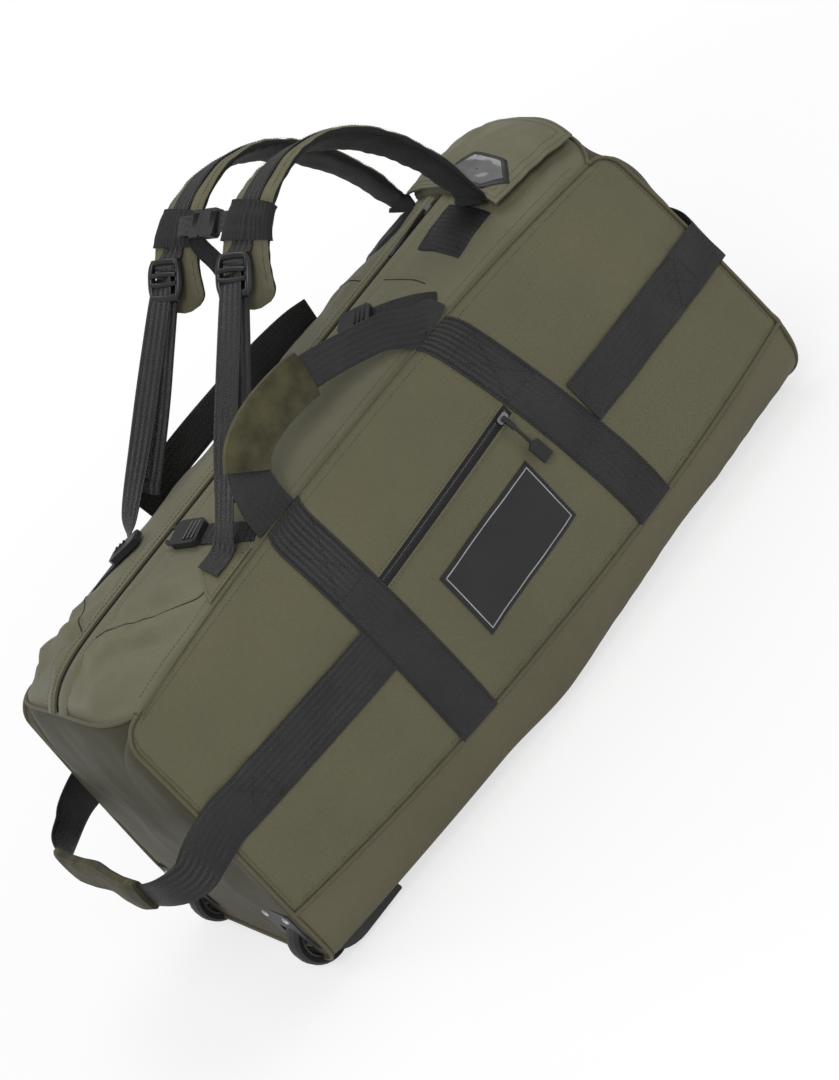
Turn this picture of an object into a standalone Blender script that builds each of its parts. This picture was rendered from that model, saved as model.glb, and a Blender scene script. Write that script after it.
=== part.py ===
"""Rolling duffel bag: soft body on two corner wheels, with carry handles and stowed-out shoulder straps.

Units are metres and +Z is up.  The bag lies on its wheels and feet, the origin is on the floor under
the middle of the body, +X runs to the pull end, the wheels are at -X and -Y is the pocket side.
"""
import bmesh
import bpy
import math
import numpy as np
from mathutils import Vector

# ---- driving dimensions -------------------------------------------------------------------------
GAP = 0.0003                 # clearance between pieces that touch
PANEL = 0.0026               # thickness of the padded body panels
BOOT = 0.0030                # thickness of the coated bottom panel
HALF_BOTTOM = 0.397          # half length of the body at the bottom seams
TOP_INSET = 0.008            # how much shorter that is at the top seams
TOP_WIDTH_WHEEL = 0.238      # distance between the top seams at the wheel end
TOP_WIDTH_PULL = 0.222       # the same at the pull end
BELLY_WIDTH_WHEEL = 0.298    # distance between the bottom seams at the wheel end
BELLY_WIDTH_PULL = 0.344     # the same at the pull end
BELLY_BOW = 0.018            # how far the bottom seams bow out in the middle
TOP_BOW = 0.004              # how far the top seams bow out in the middle
TOP_SEAM_WHEEL = 0.331       # height of the top seams at the wheel end
TOP_SEAM_PULL = 0.344        # the same at the pull end
TOP_SEAM_RISE = 0.020        # how far the top seams rise in the middle
BOTTOM_SEAM = 0.090          # height of the bottom seams at the ends
BOTTOM_SEAM_SAG = 0.016      # how far the bottom seams sag in the middle
SIDE_BULGE = 0.014           # outward bulge of the side panels
CORNER = 0.026               # radius of the side panel's top corners
BOOT_CLEARANCE = 0.012       # height of the stiff part of the bottom over the floor
RIDGE_HEIGHT = 0.3855        # height of the lid's ridge over the origin
RIDGE_SLOPE = 0.048          # rise of the ridge towards the pull end
RIDGE_DROP_WHEEL = 0.026     # how far the ridge drops at the wheel-end seam
RIDGE_DROP_PULL = 0.026      # how far the ridge drops at the pull-end seam
END_BULGE_WHEEL = 0.010      # outward bulge of the wheel-end panel
END_BULGE_PULL = 0.036       # outward bulge of the pull-end panel

WEB_WIDE = 0.050             # wide webbing
WEB_NARROW = 0.025           # shoulder and compression webbing
WEB_THICK = 0.0016           # thickness of all webbing
STRAP_LOW_X = -0.140         # centre of the lower vertical webbing
STRAP_UP_X = 0.145           # centre of the upper vertical webbing at the bottom seam
STRAP_UP_LEAN = 0.034        # how far the upper webbing leans to the wheel end on its way up
BAND_HEIGHT = 0.205          # height of the horizontal bands' centre line

WHEEL_R = 0.0325             # rolling radius
WHEEL_W = 0.024              # tyre width
WHEEL_INSET = 0.0156         # axle from the wheel end
WHEEL_Y = 0.104              # wheel centre from the middle
RIM_R = 0.0235               # radius where the tyre sits on the hub
AXLE_R = 0.0040              # axle radius
SLOT_W = 0.030               # width of the wheel slot
SLOT_R = 0.0355              # radius of the wheel slot
HOUSING_W = 0.064            # width of a wheel housing
HOUSING_TOP = 0.088          # top of the housing's end leg
HOUSING_LEG = 0.097          # length of the housing's bottom leg
HOUSING_R = 0.045            # corner radius of the housing
HOUSING_SKIN = 0.003         # thickness of the housing's flange
CHEEK = 0.006                # thickness of the walls beside the wheel
LIP = 0.006                  # width of the thick lip on the outer side of a housing
LIP_SKIN = 0.016             # thickness of that lip
LIP_PROUD = 0.0006           # how far the lip stands proud of the flange
SCREW_R = 0.0020             # shank radius of the panel screws
SCREW_HEAD_R = 0.0045        # head radius
SCREW_HEAD = 0.0015          # head height
FOOT_X = -0.170              # position of the ribbed feet
FOOT_Y = 0.075               # foot centre from the middle
FOOT_LONG = 0.078            # foot length across the bag
FOOT_WIDE = 0.030            # foot width
FOOT_RIBS = 6                # ribs on each foot
BOARD = 0.0025               # thickness of the base board
BOARD_HALF = 0.098           # half width of the base board
BOARD_END = -0.130           # where the base board stops, which is where the bag folds

PAD_W = 0.054                # width of a shoulder pad
PAD_T = 0.009                # thickness of a shoulder pad
PAD_ROOT_Y = 0.060           # pad root from the middle
PAD_TOP_Y = 0.072            # pad from the middle at the top of its arch

NEAR, FAR = -1, 1
HALF_TOP = HALF_BOTTOM - TOP_INSET
WHEEL_X = WHEEL_INSET - HALF_BOTTOM
WHEEL_AXIS_Z = WHEEL_R
HOUSING_FOOT = HOUSING_LEG - HALF_BOTTOM
UP = (0.0, 0.0, 1.0)
ALONG = (1.0, 0.0, 0.0)
ACROSS = (0.0, 1.0, 0.0)

# ---- scene helpers --------------------------------------------------------------------------------
for old in list(bpy.data.objects):
    bpy.data.objects.remove(old, do_unlink=True)


def material(name, colour, roughness, metallic=0.0):
    """One Principled material."""
    mat = bpy.data.materials.new(name)
    mat.use_nodes = True
    shader = mat.node_tree.nodes["Principled BSDF"]
    shader.inputs["Base Color"].default_value = (*colour, 1.0)
    shader.inputs["Roughness"].default_value = roughness
    shader.inputs["Metallic"].default_value = metallic
    return mat


OLIVE = (0.122, 0.110, 0.065)
OLIVE_LIGHT = (0.172, 0.165, 0.100)
BLACK = (0.012, 0.012, 0.013)
BLACK_SOFT = (0.018, 0.018, 0.020)
STEEL = (0.55, 0.55, 0.56)


def add_object(name, verts, faces, mat, smooth=True):
    """Makes one closed mesh object whose faces point outwards."""
    mesh = bpy.data.meshes.new(name)
    mesh.from_pydata([tuple(v) for v in verts], [], faces)
    mesh.validate()
    obj = bpy.data.objects.new(name, mesh)
    bpy.context.scene.collection.objects.link(obj)
    point_outwards(mesh)
    mesh.materials.append(mat)
    if smooth:
        mesh.shade_smooth()
        mesh.set_sharp_from_angle(angle=math.radians(35))
    return obj


def point_outwards(mesh):
    """Gives the faces of a closed mesh one winding, outwards."""
    bm = bmesh.new()
    bm.from_mesh(mesh)
    bmesh.ops.recalc_face_normals(bm, faces=bm.faces)
    bm.to_mesh(mesh)
    bm.free()


def shell(name, outer, inner, count_s, count_t, mat):
    """Closed thin solid between two surfaces outer(s, t) and inner(s, t), with s and t from 0 to 1."""
    stride = count_t + 1
    layer = (count_s + 1) * stride
    verts = []
    for surface in (outer, inner):
        for i in range(count_s + 1):
            for j in range(stride):
                verts.append(surface(i / count_s, j / count_t))
    faces = []
    for i in range(count_s):
        for j in range(count_t):
            a = i * stride + j
            quad = (a, a + 1, a + stride + 1, a + stride)
            faces.append(quad)
            faces.append(tuple(layer + k for k in reversed(quad)))
    rim = [i * stride for i in range(count_s)]
    rim += [count_s * stride + j for j in range(count_t)]
    rim += [i * stride + count_t for i in range(count_s, 0, -1)]
    rim += [j for j in range(count_t, 0, -1)]
    for k, a in enumerate(rim):
        b = rim[(k + 1) % len(rim)]
        faces.append((a, b, layer + b, layer + a))
    return add_object(name, verts, faces, mat)


def smooth_route(points, steps):
    """Points at even steps on a smooth curve through the given rows of numbers."""
    rows = np.array(points, dtype=float)
    if len(rows) == 2:
        share = np.linspace(0.0, 1.0, steps + 1)[:, None]
        return rows[0] * (1 - share) + rows[1] * share
    padded = np.vstack([2 * rows[0] - rows[1], rows, 2 * rows[-1] - rows[-2]])
    out = []
    spans = len(rows) - 1
    for k in range(steps + 1):
        place = k / steps * spans
        i = min(int(place), spans - 1)
        t = place - i
        p0, p1, p2, p3 = padded[i:i + 4]
        out.append(0.5 * (2 * p1 + (p2 - p0) * t + (2 * p0 - 5 * p1 + 4 * p2 - p3) * t ** 2
                          + (3 * p1 - p0 - 3 * p2 + p3) * t ** 3))
    return np.array(out)


def unit(vector):
    """The vector at length one."""
    vector = np.array(vector, dtype=float)
    return vector / np.linalg.norm(vector)


def frames(path, across):
    """Tangent, width and thickness directions along a path."""
    result = []
    last = len(path) - 1
    for k in range(last + 1):
        tangent = unit(path[min(k + 1, last)] - path[max(k - 1, 0)])
        side = np.array(across[k] if np.ndim(across) == 2 else across, dtype=float)
        side = unit(side - tangent * np.dot(side, tangent))
        result.append((tangent, side, np.cross(side, tangent)))
    return result


def ring(width, thick, rounded):
    """Outline of a webbing or pad section, as (across, through) pairs."""
    w, t = width / 2, thick / 2
    if not rounded:
        return [(-w, -t), (w, -t), (w, t), (-w, t)]
    c = min(t, w) * 0.6
    return [(-w + c, -t), (w - c, -t), (w, -t + c), (w, t - c),
            (w - c, t), (-w + c, t), (-w, t - c), (-w, -t + c)]


def sweep_rings(name, rings, mat):
    """Closed solid through a list of rings with equal counts, capped at both ends."""
    count = len(rings[0])
    verts = [p for one in rings for p in one]
    faces = []
    for k in range(len(rings) - 1):
        for i in range(count):
            j = (i + 1) % count
            faces.append((k * count + i, k * count + j, (k + 1) * count + j, (k + 1) * count + i))
    faces.append(tuple(range(count)))
    faces.append(tuple((len(rings) - 1) * count + i for i in reversed(range(count))))
    return add_object(name, verts, faces, mat)


def ribbon(name, route, across, width, thick, steps, mat, rounded=False, tips=(False, False)):
    """Webbing or a pad swept along a smooth route.

    width and thick are single values or one value for each route point.  A tip closes an end with a
    half round, so that it can turn about the end of the route.
    """
    rows = len(route)
    widths = width if np.ndim(width) else [width] * rows
    thicks = thick if np.ndim(thick) else [thick] * rows
    across_rows = across if np.ndim(across) == 2 else [across] * rows
    table = [(*p, *a, w, t) for p, a, w, t in zip(route, across_rows, widths, thicks)]
    smooth = smooth_route(table, steps)
    path, sides = smooth[:, :3], smooth[:, 3:6]
    rings = []
    for point, (tangent, side, through), w, t in zip(path, frames(path, sides), smooth[:, 6], smooth[:, 7]):
        rings.append([point + side * a + through * b for a, b in ring(w, t, rounded)])
    base = frames(path, sides)
    for end, wanted in ((0, tips[0]), (-1, tips[1])):
        if not wanted:
            continue
        tangent, side, through = base[end]
        outwards = -tangent if end == 0 else tangent
        w, t = smooth[end, 6], smooth[end, 7]
        extra = [[path[end] + outwards * t / 2 * math.sin(turn) + side * a + through * b
                  for a, b in ring(w, t * math.cos(turn), rounded)] for turn in (0.7, 1.25)]
        rings = extra[::-1] + rings if end == 0 else rings + extra
    return sweep_rings(name, rings, mat)


def prism(name, outline, plane, low, high, mat, smooth=False):
    """Solid from a closed outline.  plane 'XZ' extrudes along Y, 'XY' along Z and 'YZ' along X."""
    place = {"XZ": lambda a, b, c: (a, c, b), "XY": lambda a, b, c: (a, b, c),
             "YZ": lambda a, b, c: (c, a, b)}[plane]
    rings = [[place(a, b, level) for a, b in outline] for level in (low, high)]
    return sweep_rings_flat(name, rings, mat, smooth)


def sweep_rings_flat(name, rings, mat, smooth):
    """The same as sweep_rings, with flat shading where wanted."""
    obj = sweep_rings(name, rings, mat)
    if not smooth:
        obj.data.shade_flat()
    return obj


def box(name, low, high, mat):
    """Rectangular block between two corners."""
    (x0, y0, z0), (x1, y1, z1) = low, high
    return prism(name, [(x0, y0), (x1, y0), (x1, y1), (x0, y1)], "XY", z0, z1, mat)


def circle(radius, count, centre=(0.0, 0.0), start=0.0):
    """Points on a circle."""
    return [(centre[0] + radius * math.cos(start + 2 * math.pi * k / count),
             centre[1] + radius * math.sin(start + 2 * math.pi * k / count)) for k in range(count)]


def turned(name, profile, centre, count, mat):
    """Ring-shaped solid turned about an axis along Y; profile holds (radius, y) pairs as a closed loop."""
    verts, faces = [], []
    rows = len(profile)
    for k in range(count):
        angle = 2 * math.pi * k / count
        for radius, y in profile:
            spoke = np.array((radius * math.cos(angle), y, radius * math.sin(angle)))
            verts.append(spoke + centre)
    for k in range(count):
        m = (k + 1) % count
        for i in range(rows):
            j = (i + 1) % rows
            faces.append((k * rows + i, k * rows + j, m * rows + j, m * rows + i))
    return add_object(name, verts, faces, mat)


def cutter(obj):
    """Marks a body as a tool that is left out of the model."""
    obj.hide_render = True
    obj.display_type = 'WIRE'
    return obj


def cut(target, tool, operation='DIFFERENCE'):
    """Adds an exact Boolean modifier."""
    modifier = target.modifiers.new(tool.name, 'BOOLEAN')
    modifier.operation = operation
    modifier.object = tool
    modifier.solver = 'EXACT'


olive = material("olive_cloth", OLIVE, 0.75)
olive_light = material("lid_cloth", OLIVE_LIGHT, 0.6)
coated = material("coated_bottom", (0.095, 0.085, 0.048), 0.6)
webbing = material("webbing", BLACK_SOFT, 0.7)
plastic = material("black_plastic", BLACK, 0.45)
rubber = material("wheel_rubber", BLACK, 0.55)
steel = material("steel", STEEL, 0.3, 1.0)
board_mat = material("board", (0.05, 0.05, 0.05), 0.6)
label = material("label", BLACK, 0.4)


# ---- shape of the soft body ------------------------------------------------------------------------
def ease(t):
    """Smooth step from 0 to 1."""
    t = min(max(t, 0.0), 1.0)
    return t * t * (3 - 2 * t)


def bow(u):
    """One in the middle of the bag and zero at its ends; u runs from -1 to 1."""
    return 1 - min(abs(u), 1.0) ** 2.2


def section(u, depth=0.0):
    """Half widths and heights of the top and bottom seams at u, for a skin depth under the outside."""
    share = (u + 1) / 2
    full = bow(u)
    top_y = (TOP_WIDTH_WHEEL * (1 - share) + TOP_WIDTH_PULL * share) / 2 + TOP_BOW * full - depth
    top_z = TOP_SEAM_WHEEL * (1 - share) + TOP_SEAM_PULL * share + TOP_SEAM_RISE * full - depth
    low_y = (BELLY_WIDTH_WHEEL * (1 - share) + BELLY_WIDTH_PULL * share) / 2 + BELLY_BOW * full - depth
    low_z = BOTTOM_SEAM - BOTTOM_SEAM_SAG * full
    return top_y, top_z, low_y, low_z


def ridge(x):
    """Height of the lid's middle line, straight between its ends."""
    height = RIDGE_HEIGHT + RIDGE_SLOPE * x
    height -= RIDGE_DROP_WHEEL * math.exp(-(x + HALF_TOP) / 0.022)
    return height - RIDGE_DROP_PULL * math.exp(-(HALF_TOP - x) / 0.035)


def boot_floor(x):
    """Height of the bottom: stiff and clear of the floor at the wheels, resting on it at the pull end."""
    return BOOT_CLEARANCE * (1 - ease((x + 0.144) / 0.108))


def side_point(u, v, side, depth=0.0):
    """Side panel; v is 0 at the bottom seam and 1 at the top seam."""
    top_y, top_z, low_y, low_z = section(u, depth)
    y = low_y * (1 - v) + top_y * v + SIDE_BULGE * 4 * v * (1 - v) * (0.35 + 0.65 * bow(u))
    z = low_z * (1 - v) + top_z * v
    height = top_z - low_z
    into = min(max((v * height - (height - CORNER)) / CORNER, 0.0), 1.0)
    half = (HALF_BOTTOM - depth) * (1 - v) + (HALF_TOP - depth) * v - CORNER * (1 - math.sqrt(1 - into ** 2))
    return (u * half, side * y, z)


def lid_point(u, w, depth=0.0):
    """Lid; w runs from -1 at the near top seam to 1 at the far one."""
    top_y, top_z, low_y, low_z = section(u, depth)
    half = HALF_TOP - depth - CORNER * abs(w) ** 6
    z = top_z + (ridge(u * HALF_TOP) - depth - top_z) * (1 - abs(w) ** 2.4)
    return (u * half, w * top_y, z)


def boot_point(u, a, depth=0.0):
    """Bottom panel; a runs from -1 at the near bottom seam to 1 at the far one."""
    top_y, top_z, low_y, low_z = section(u, depth)
    x = u * (HALF_BOTTOM - depth)
    power = 2 / (6 - 3.2 * ease((x + 0.15) / 0.30))
    turn = (a + 1) / 2 * math.pi
    c, s = -math.cos(turn), math.sin(turn)
    y = low_y * math.copysign(abs(c) ** power, c)
    return (x, y, low_z - (low_z - boot_floor(x) - depth) * min(1.012 * abs(s) ** power, 1.0))


FLAT_ROWS, CORNER_ROWS, LID_ROWS, BOOT_ROWS = 5, 4, 6, 18
LID_STATIONS = 20
LEVELS = FLAT_ROWS + CORNER_ROWS


def side_level(i):
    """The v of grid row i on the side panels, closer together on the rounded top corners."""
    corner = CORNER / (TOP_SEAM_WHEEL + TOP_SEAM_RISE / 2 - BOTTOM_SEAM)
    if i <= FLAT_ROWS:
        return (1 - corner) * i / FLAT_ROWS
    return 1 - corner * (1 - math.sin(math.pi / 2 * (i - FLAT_ROWS) / CORNER_ROWS))


def lid_level(i):
    """The w of grid row i on a lid half: 1 at the seam, 0 on the ridge."""
    return 1 - (i / LID_ROWS) ** 1.35


def rim_points(end, depth):
    """Loop round an end of the body: near side up, lid across, far side down, bottom back."""
    loop = [side_point(end, side_level(i), NEAR, depth) for i in range(LEVELS)]
    loop += [lid_point(end, -lid_level(i), depth) for i in range(LID_ROWS)]
    loop += [lid_point(end, lid_level(LID_ROWS - i), depth) for i in range(LID_ROWS)]
    loop += [side_point(end, side_level(LEVELS - i), FAR, depth) for i in range(LEVELS)]
    return loop + [boot_point(end, 1 - 2 * i / BOOT_ROWS, depth) for i in range(BOOT_ROWS)]


def end_point(end, edge, r, depth, bulge):
    """End panel as a bulged disc; r is 0 at its middle and 1 at the seam point edge."""
    edge = np.array(edge)
    middle = np.array((end * (HALF_BOTTOM - depth - 0.004), 0.0, 0.185))
    point = middle + (edge - middle) * r
    point[0] = edge[0] + (middle[0] - edge[0]) * (1 - r ** 7) + end * bulge * (1 - r ** 2.6)
    return point


def side_u(x):
    """The u of a place x on the side panels, near enough for seams and straps."""
    return x / ((HALF_BOTTOM + HALF_TOP) / 2)


def side_v(u, z):
    """The v of a height z on the side panels."""
    top_y, top_z, low_y, low_z = section(u)
    return (z - low_z) / (top_z - low_z)


SEAM = 1.3 * GAP / HALF_BOTTOM
RIM = 1 - 2.2 * GAP / 0.12   # the end panels stop this share of the way to the seam


def side_patch(name, side, edge, count_s, count_t, mat, inside=-GAP, thick=WEB_THICK):
    """Layer on a side panel.  edge(s, t) gives x and v; it lies outside the panel by GAP."""
    def surface(depth):
        def at(s, t):
            x, v = edge(s, t)
            return side_point(side_u(x), v, side, depth)
        return at
    return shell(name, surface(inside - thick), surface(inside), count_s, count_t, mat)


def lid_patch(name, edge, count_s, count_t, mat, inside, thick):
    """Layer on the lid.  edge(s, t) gives x and y."""
    def surface(depth):
        def at(s, t):
            x, y = edge(s, t)
            u = x / HALF_TOP
            return lid_point(u, y / section(u)[0], depth)
        return at
    return shell(name, surface(-inside - thick), surface(-inside), count_s, count_t, mat)


def lid_height(x, y):
    """Height of the lid's outside over x and y."""
    u = x / HALF_TOP
    return lid_point(u, y / section(u)[0])[2]


# ---- body panels ---------------------------------------------------------------------------------
ZIP_NEAR, ZIP_FAR = -0.0110, 0.0004        # edges of the zip opening in the lid
END_RINGS = (0.38, 0.66, 0.84, 0.94, 1.0)   # rings of the end panels, as shares of the way to the rim


def side_panels():
    for side, name in ((NEAR, "side_panel_near"), (FAR, "side_panel_far")):
        def surface(depth, side=side):
            def at(s, t):
                row = round(t * LEVELS)
                x, y, z = side_point((2 * s - 1) * (1 - SEAM), side_level(row), side, depth)
                return x, y, z + GAP * ((row == 0) - (row == LEVELS))
            return at
        shell(name, surface(0.0), surface(PANEL), 16, LEVELS, olive)


def lid_panels():
    """The two lid halves, which meet the zip along the ridge."""
    for name, side in (("lid_panel_near", NEAR), ("lid_panel_far", FAR)):
        def surface(depth, side=side):
            def at(s, t):
                u = (2 * s - 1) * (1 - SEAM)
                top_y = section(u, depth)[0]
                inner = (ZIP_NEAR - GAP if side == NEAR else ZIP_FAR + GAP) / top_y
                outer = side * (1 - 1.3 * GAP / top_y)
                return lid_point(u, inner + (outer - inner) * lid_level(round(t * LID_ROWS)), depth)
            return at
        shell(name, surface(0.0), surface(PANEL), LID_STATIONS, LID_ROWS, olive_light)


def bottom_panel():
    def surface(depth):
        return lambda s, t: boot_point((2 * s - 1) * (1 - SEAM), (2 * t - 1) * 0.9999, depth)
    return shell("bottom_panel", surface(0.0), surface(BOOT), 22, BOOT_ROWS, coated)


def end_panel(name, end, bulge):
    """Disc-like panel: rings of points between the middle and the seam, outside and inside."""
    verts, faces = [], []
    starts = []
    for depth in (0.0, PANEL):
        starts.append(len(verts))
        edges = rim_points(end, depth)
        verts.append(end_point(end, edges[0], 0.0, depth, bulge))
        for share in END_RINGS:
            verts += [end_point(end, edge, share * RIM, depth, bulge) for edge in edges]
    count = len(edges)
    for start in starts:
        for k in range(count):
            m = (k + 1) % count
            faces.append((start, start + 1 + k, start + 1 + m))
            for ring_index in range(len(END_RINGS) - 1):
                a = start + 1 + ring_index * count
                faces.append((a + k, a + count + k, a + count + m, a + m))
    rims = [start + 1 + (len(END_RINGS) - 1) * count for start in starts]
    for k in range(count):
        m = (k + 1) % count
        faces.append((rims[0] + k, rims[1] + k, rims[1] + m, rims[0] + m))
    return add_object(name, verts, faces, olive)


side_panels()
lid_panels()
boot = bottom_panel()
wheel_end = end_panel("wheel_end_panel", -1, END_BULGE_WHEEL)
end_panel("pull_end_panel", 1, END_BULGE_PULL)


# ---- base board, wheel housings, wheels and feet -----------------------------------------------------
def base_board():
    """Flat stiffener on the bottom panel, from the wheel end to the fold line."""
    low = BOOT_CLEARANCE + BOOT + GAP + 0.0006
    start = -HALF_BOTTOM + HOUSING_SKIN + 0.022
    half = BOARD_HALF
    outline = [(start, -half), (BOARD_END, -half), (BOARD_END, half), (start, half)]
    return prism("base_board", outline, "XY", low, low + BOARD, board_mat), low + BOARD


board, board_top = base_board()


def corner_line(offset, foot):
    """The housing's outer line in XZ, from the top of its end leg round the corner to its foot."""
    end_x = -HALF_BOTTOM - HOUSING_SKIN - 0.0005 - offset
    low_z = BOOT_CLEARANCE - HOUSING_SKIN - 0.0005 - offset
    centre = (end_x + HOUSING_R + offset, low_z + HOUSING_R + offset)
    radius = HOUSING_R + offset
    arc = [(centre[0] + radius * math.cos(a), centre[1] + radius * math.sin(a))
           for a in np.radians(np.linspace(180, 270, 10))]
    return [(end_x, HOUSING_TOP)] + arc + [(foot, low_z)]


def housing_strip(offset, skin, foot):
    """Closed XZ outline of a strip along the corner, skin thick."""
    return corner_line(offset, foot) + corner_line(offset - skin, foot)[::-1]


def housing(name, side):
    """Corner housing: flange, side lip and a pocket with two cheeks for the wheel."""
    middle = side * WHEEL_Y
    half = HOUSING_W / 2
    strip = housing_strip(0.0, HOUSING_SKIN, HOUSING_FOOT)
    flange = prism(name, strip, "XZ", middle - half, middle + half, plastic)
    lip_edge = sorted((middle + side * (half - LIP), middle + side * (half + LIP_PROUD)))
    lip_strip = housing_strip(LIP_PROUD, LIP_SKIN, HOUSING_FOOT - LIP_PROUD)
    lip = prism(name + "_lip", lip_strip, "XZ", *lip_edge, plastic)
    cheek = SLOT_W / 2 + CHEEK
    pocket_r = SLOT_R + CHEEK * 0.6
    clip = corner_line(-0.0006, HOUSING_FOOT)
    round_part = [(WHEEL_X + pocket_r * math.cos(a), WHEEL_AXIS_Z + pocket_r * math.sin(a))
                  for a in np.radians(np.linspace(-28, 118, 18))]
    low_edge = [p for p in clip if p[0] <= round_part[0][0] and p[1] <= round_part[-1][1]]
    pocket = prism(name + "_pocket", low_edge + [(round_part[0][0], low_edge[-1][1])] + round_part
                   + [(low_edge[0][0], round_part[-1][1])], "XZ", middle - cheek, middle + cheek, plastic)
    slot = prism(name + "_slot", circle(SLOT_R, 40, (WHEEL_X, WHEEL_AXIS_Z)), "XZ",
                 middle - SLOT_W / 2, middle + SLOT_W / 2, plastic)
    hole = prism(name + "_hole", circle(AXLE_R + GAP, 20, (WHEEL_X, WHEEL_AXIS_Z)), "XZ",
                 middle - half - 0.01, middle + half + 0.01, plastic)
    for tool in (lip, pocket):
        cut(flange, cutter(tool), 'UNION')
    for tool in (slot, hole):
        cut(flange, cutter(tool))
    return flange


def room_for_housing(name, side):
    """Cutter that clears the body panels round a housing."""
    middle = side * WHEEL_Y
    half = HOUSING_W / 2 + LIP_PROUD + GAP
    line = corner_line(LIP_PROUD - LIP_SKIN - GAP, HOUSING_FOOT + GAP)
    line[0] = (line[0][0], HOUSING_TOP + GAP)
    outline = line + [(HOUSING_FOOT + GAP, -0.01), (-0.45, -0.01), (-0.45, HOUSING_TOP + GAP)]
    return cutter(prism(name, outline, "XZ", middle - half, middle + half, plastic))


def room_for_pocket(name, side):
    """Cutter that clears the base board round a wheel pocket."""
    middle = side * WHEEL_Y
    half = SLOT_W / 2 + CHEEK + GAP
    reach = SLOT_R + CHEEK
    return cutter(box(name, (-0.45, middle - half, -0.01), (WHEEL_X + reach, middle + half, 0.09), plastic))


def tyre_profile():
    half, r = WHEEL_W / 2, WHEEL_R
    return [(RIM_R + GAP, -half + 0.002), (r - 0.004, -half), (r - 0.001, -half + 0.004), (r, 0.0),
            (r - 0.001, half - 0.004), (r - 0.004, half), (RIM_R + GAP, half - 0.002)]


def hub_profile():
    half = WHEEL_W / 2 - 0.002
    bore = AXLE_R + GAP
    return [(bore, -half - 0.0012), (0.0085, -half - 0.0012), (0.0095, -0.0035), (RIM_R - 0.003, -0.0035),
            (RIM_R - 0.002, -half), (RIM_R, -half), (RIM_R, half), (RIM_R - 0.002, half),
            (RIM_R - 0.003, 0.0035), (0.0095, 0.0035), (0.0085, half + 0.0012), (bore, half + 0.0012)]


def wheel(side, tag):
    """Tyre, spoked hub and axle of one wheel."""
    centre = (WHEEL_X, side * WHEEL_Y, WHEEL_AXIS_Z)
    turned("tyre_" + tag, tyre_profile(), centre, 32, rubber)
    hub = turned("hub_" + tag, hub_profile(), centre, 24, plastic)
    windows = []
    for k in range(5):
        angle = 2 * math.pi * (k + 0.5) / 5
        place = (WHEEL_X + 0.0152 * math.cos(angle), WHEEL_AXIS_Z + 0.0152 * math.sin(angle))
        windows.append(prism("window_%s_%d" % (tag, k), circle(0.0042, 8, place), "XZ",
                             centre[1] - 0.01, centre[1] + 0.01, plastic))
    for tool in windows:
        cut(hub, cutter(tool))
    for obj in ("tyre_" + tag, "hub_" + tag):
        set_origin(bpy.data.objects[obj], centre)
    reach = SLOT_W / 2 + CHEEK + 0.0004
    head_r, tip = AXLE_R + 0.002, reach + 0.0016
    profile = [(0.0, -tip), (head_r, -tip), (head_r, -reach), (AXLE_R, -reach),
               (AXLE_R, reach), (head_r, reach), (head_r, tip), (0.0, tip)]
    lathe_solid("axle_" + tag, profile, centre, "Y", 20, steel)


def lathe_solid(name, profile, centre, axis, count, mat):
    """Solid turned about an axis through centre; profile holds (radius, along) pairs from pole to pole."""
    verts, faces = [], []
    put = {"X": lambda r, s, a: (a, r, s), "Y": lambda r, s, a: (r, a, s)}[axis]
    rows = profile[1:-1]
    for radius, along in rows:
        for k in range(count):
            angle = 2 * math.pi * k / count
            verts.append(np.array(put(radius * math.cos(angle), radius * math.sin(angle), along)) + centre)
    for i in range(len(rows) - 1):
        for k in range(count):
            m = (k + 1) % count
            faces.append((i * count + k, i * count + m, (i + 1) * count + m, (i + 1) * count + k))
    faces.append(tuple(range(count)))
    faces.append(tuple((len(rows) - 1) * count + k for k in reversed(range(count))))
    return add_object(name, verts, faces, mat)


def set_origin(obj, place):
    """Puts an object's origin on its joint's axis without moving its mesh."""
    place = Vector(place)
    for vertex in obj.data.vertices:
        vertex.co -= place
    obj.location = place


SCREW_LONG = 0.0085          # shank length of the housing screws
END_SCREW_Z = HOUSING_TOP - 0.009
SIDE_SCREW = 0.0195          # housing screws from the wheel's middle
FOOT_PEG = 0.026             # foot pegs from the foot's middle
PEG_R = 0.0030               # radius of a foot peg
FLANGE_FACE = -HALF_BOTTOM - HOUSING_SKIN - 0.0005


def screw(name, place):
    """Round-headed screw through a housing's end leg."""
    top = -SCREW_HEAD - GAP
    profile = [(0.0, top), (SCREW_HEAD_R * 0.7, top), (SCREW_HEAD_R, -SCREW_HEAD * 0.4),
               (SCREW_HEAD_R, -GAP), (SCREW_R, -GAP), (SCREW_R, SCREW_LONG), (0.0, SCREW_LONG)]
    lathe_solid(name, profile, np.array(place), "X", 14, steel)


def screw_hole(name, place):
    """Clearance hole for one screw."""
    x, y, z = place
    outline = [(y + a, z + b) for a, b in circle(SCREW_R + GAP, 14)]
    return cutter(prism(name, outline, "YZ", x - 0.01, x + SCREW_LONG + GAP, plastic))


def peg(name, x, y, radius):
    """Round peg or its hole, from inside the foot to the top of the base board."""
    outline = [(x + a, y + b) for a, b in circle(radius, 14)]
    return cutter(prism(name, outline, "XY", BOOT_CLEARANCE - 0.004, board_top, plastic))


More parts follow.
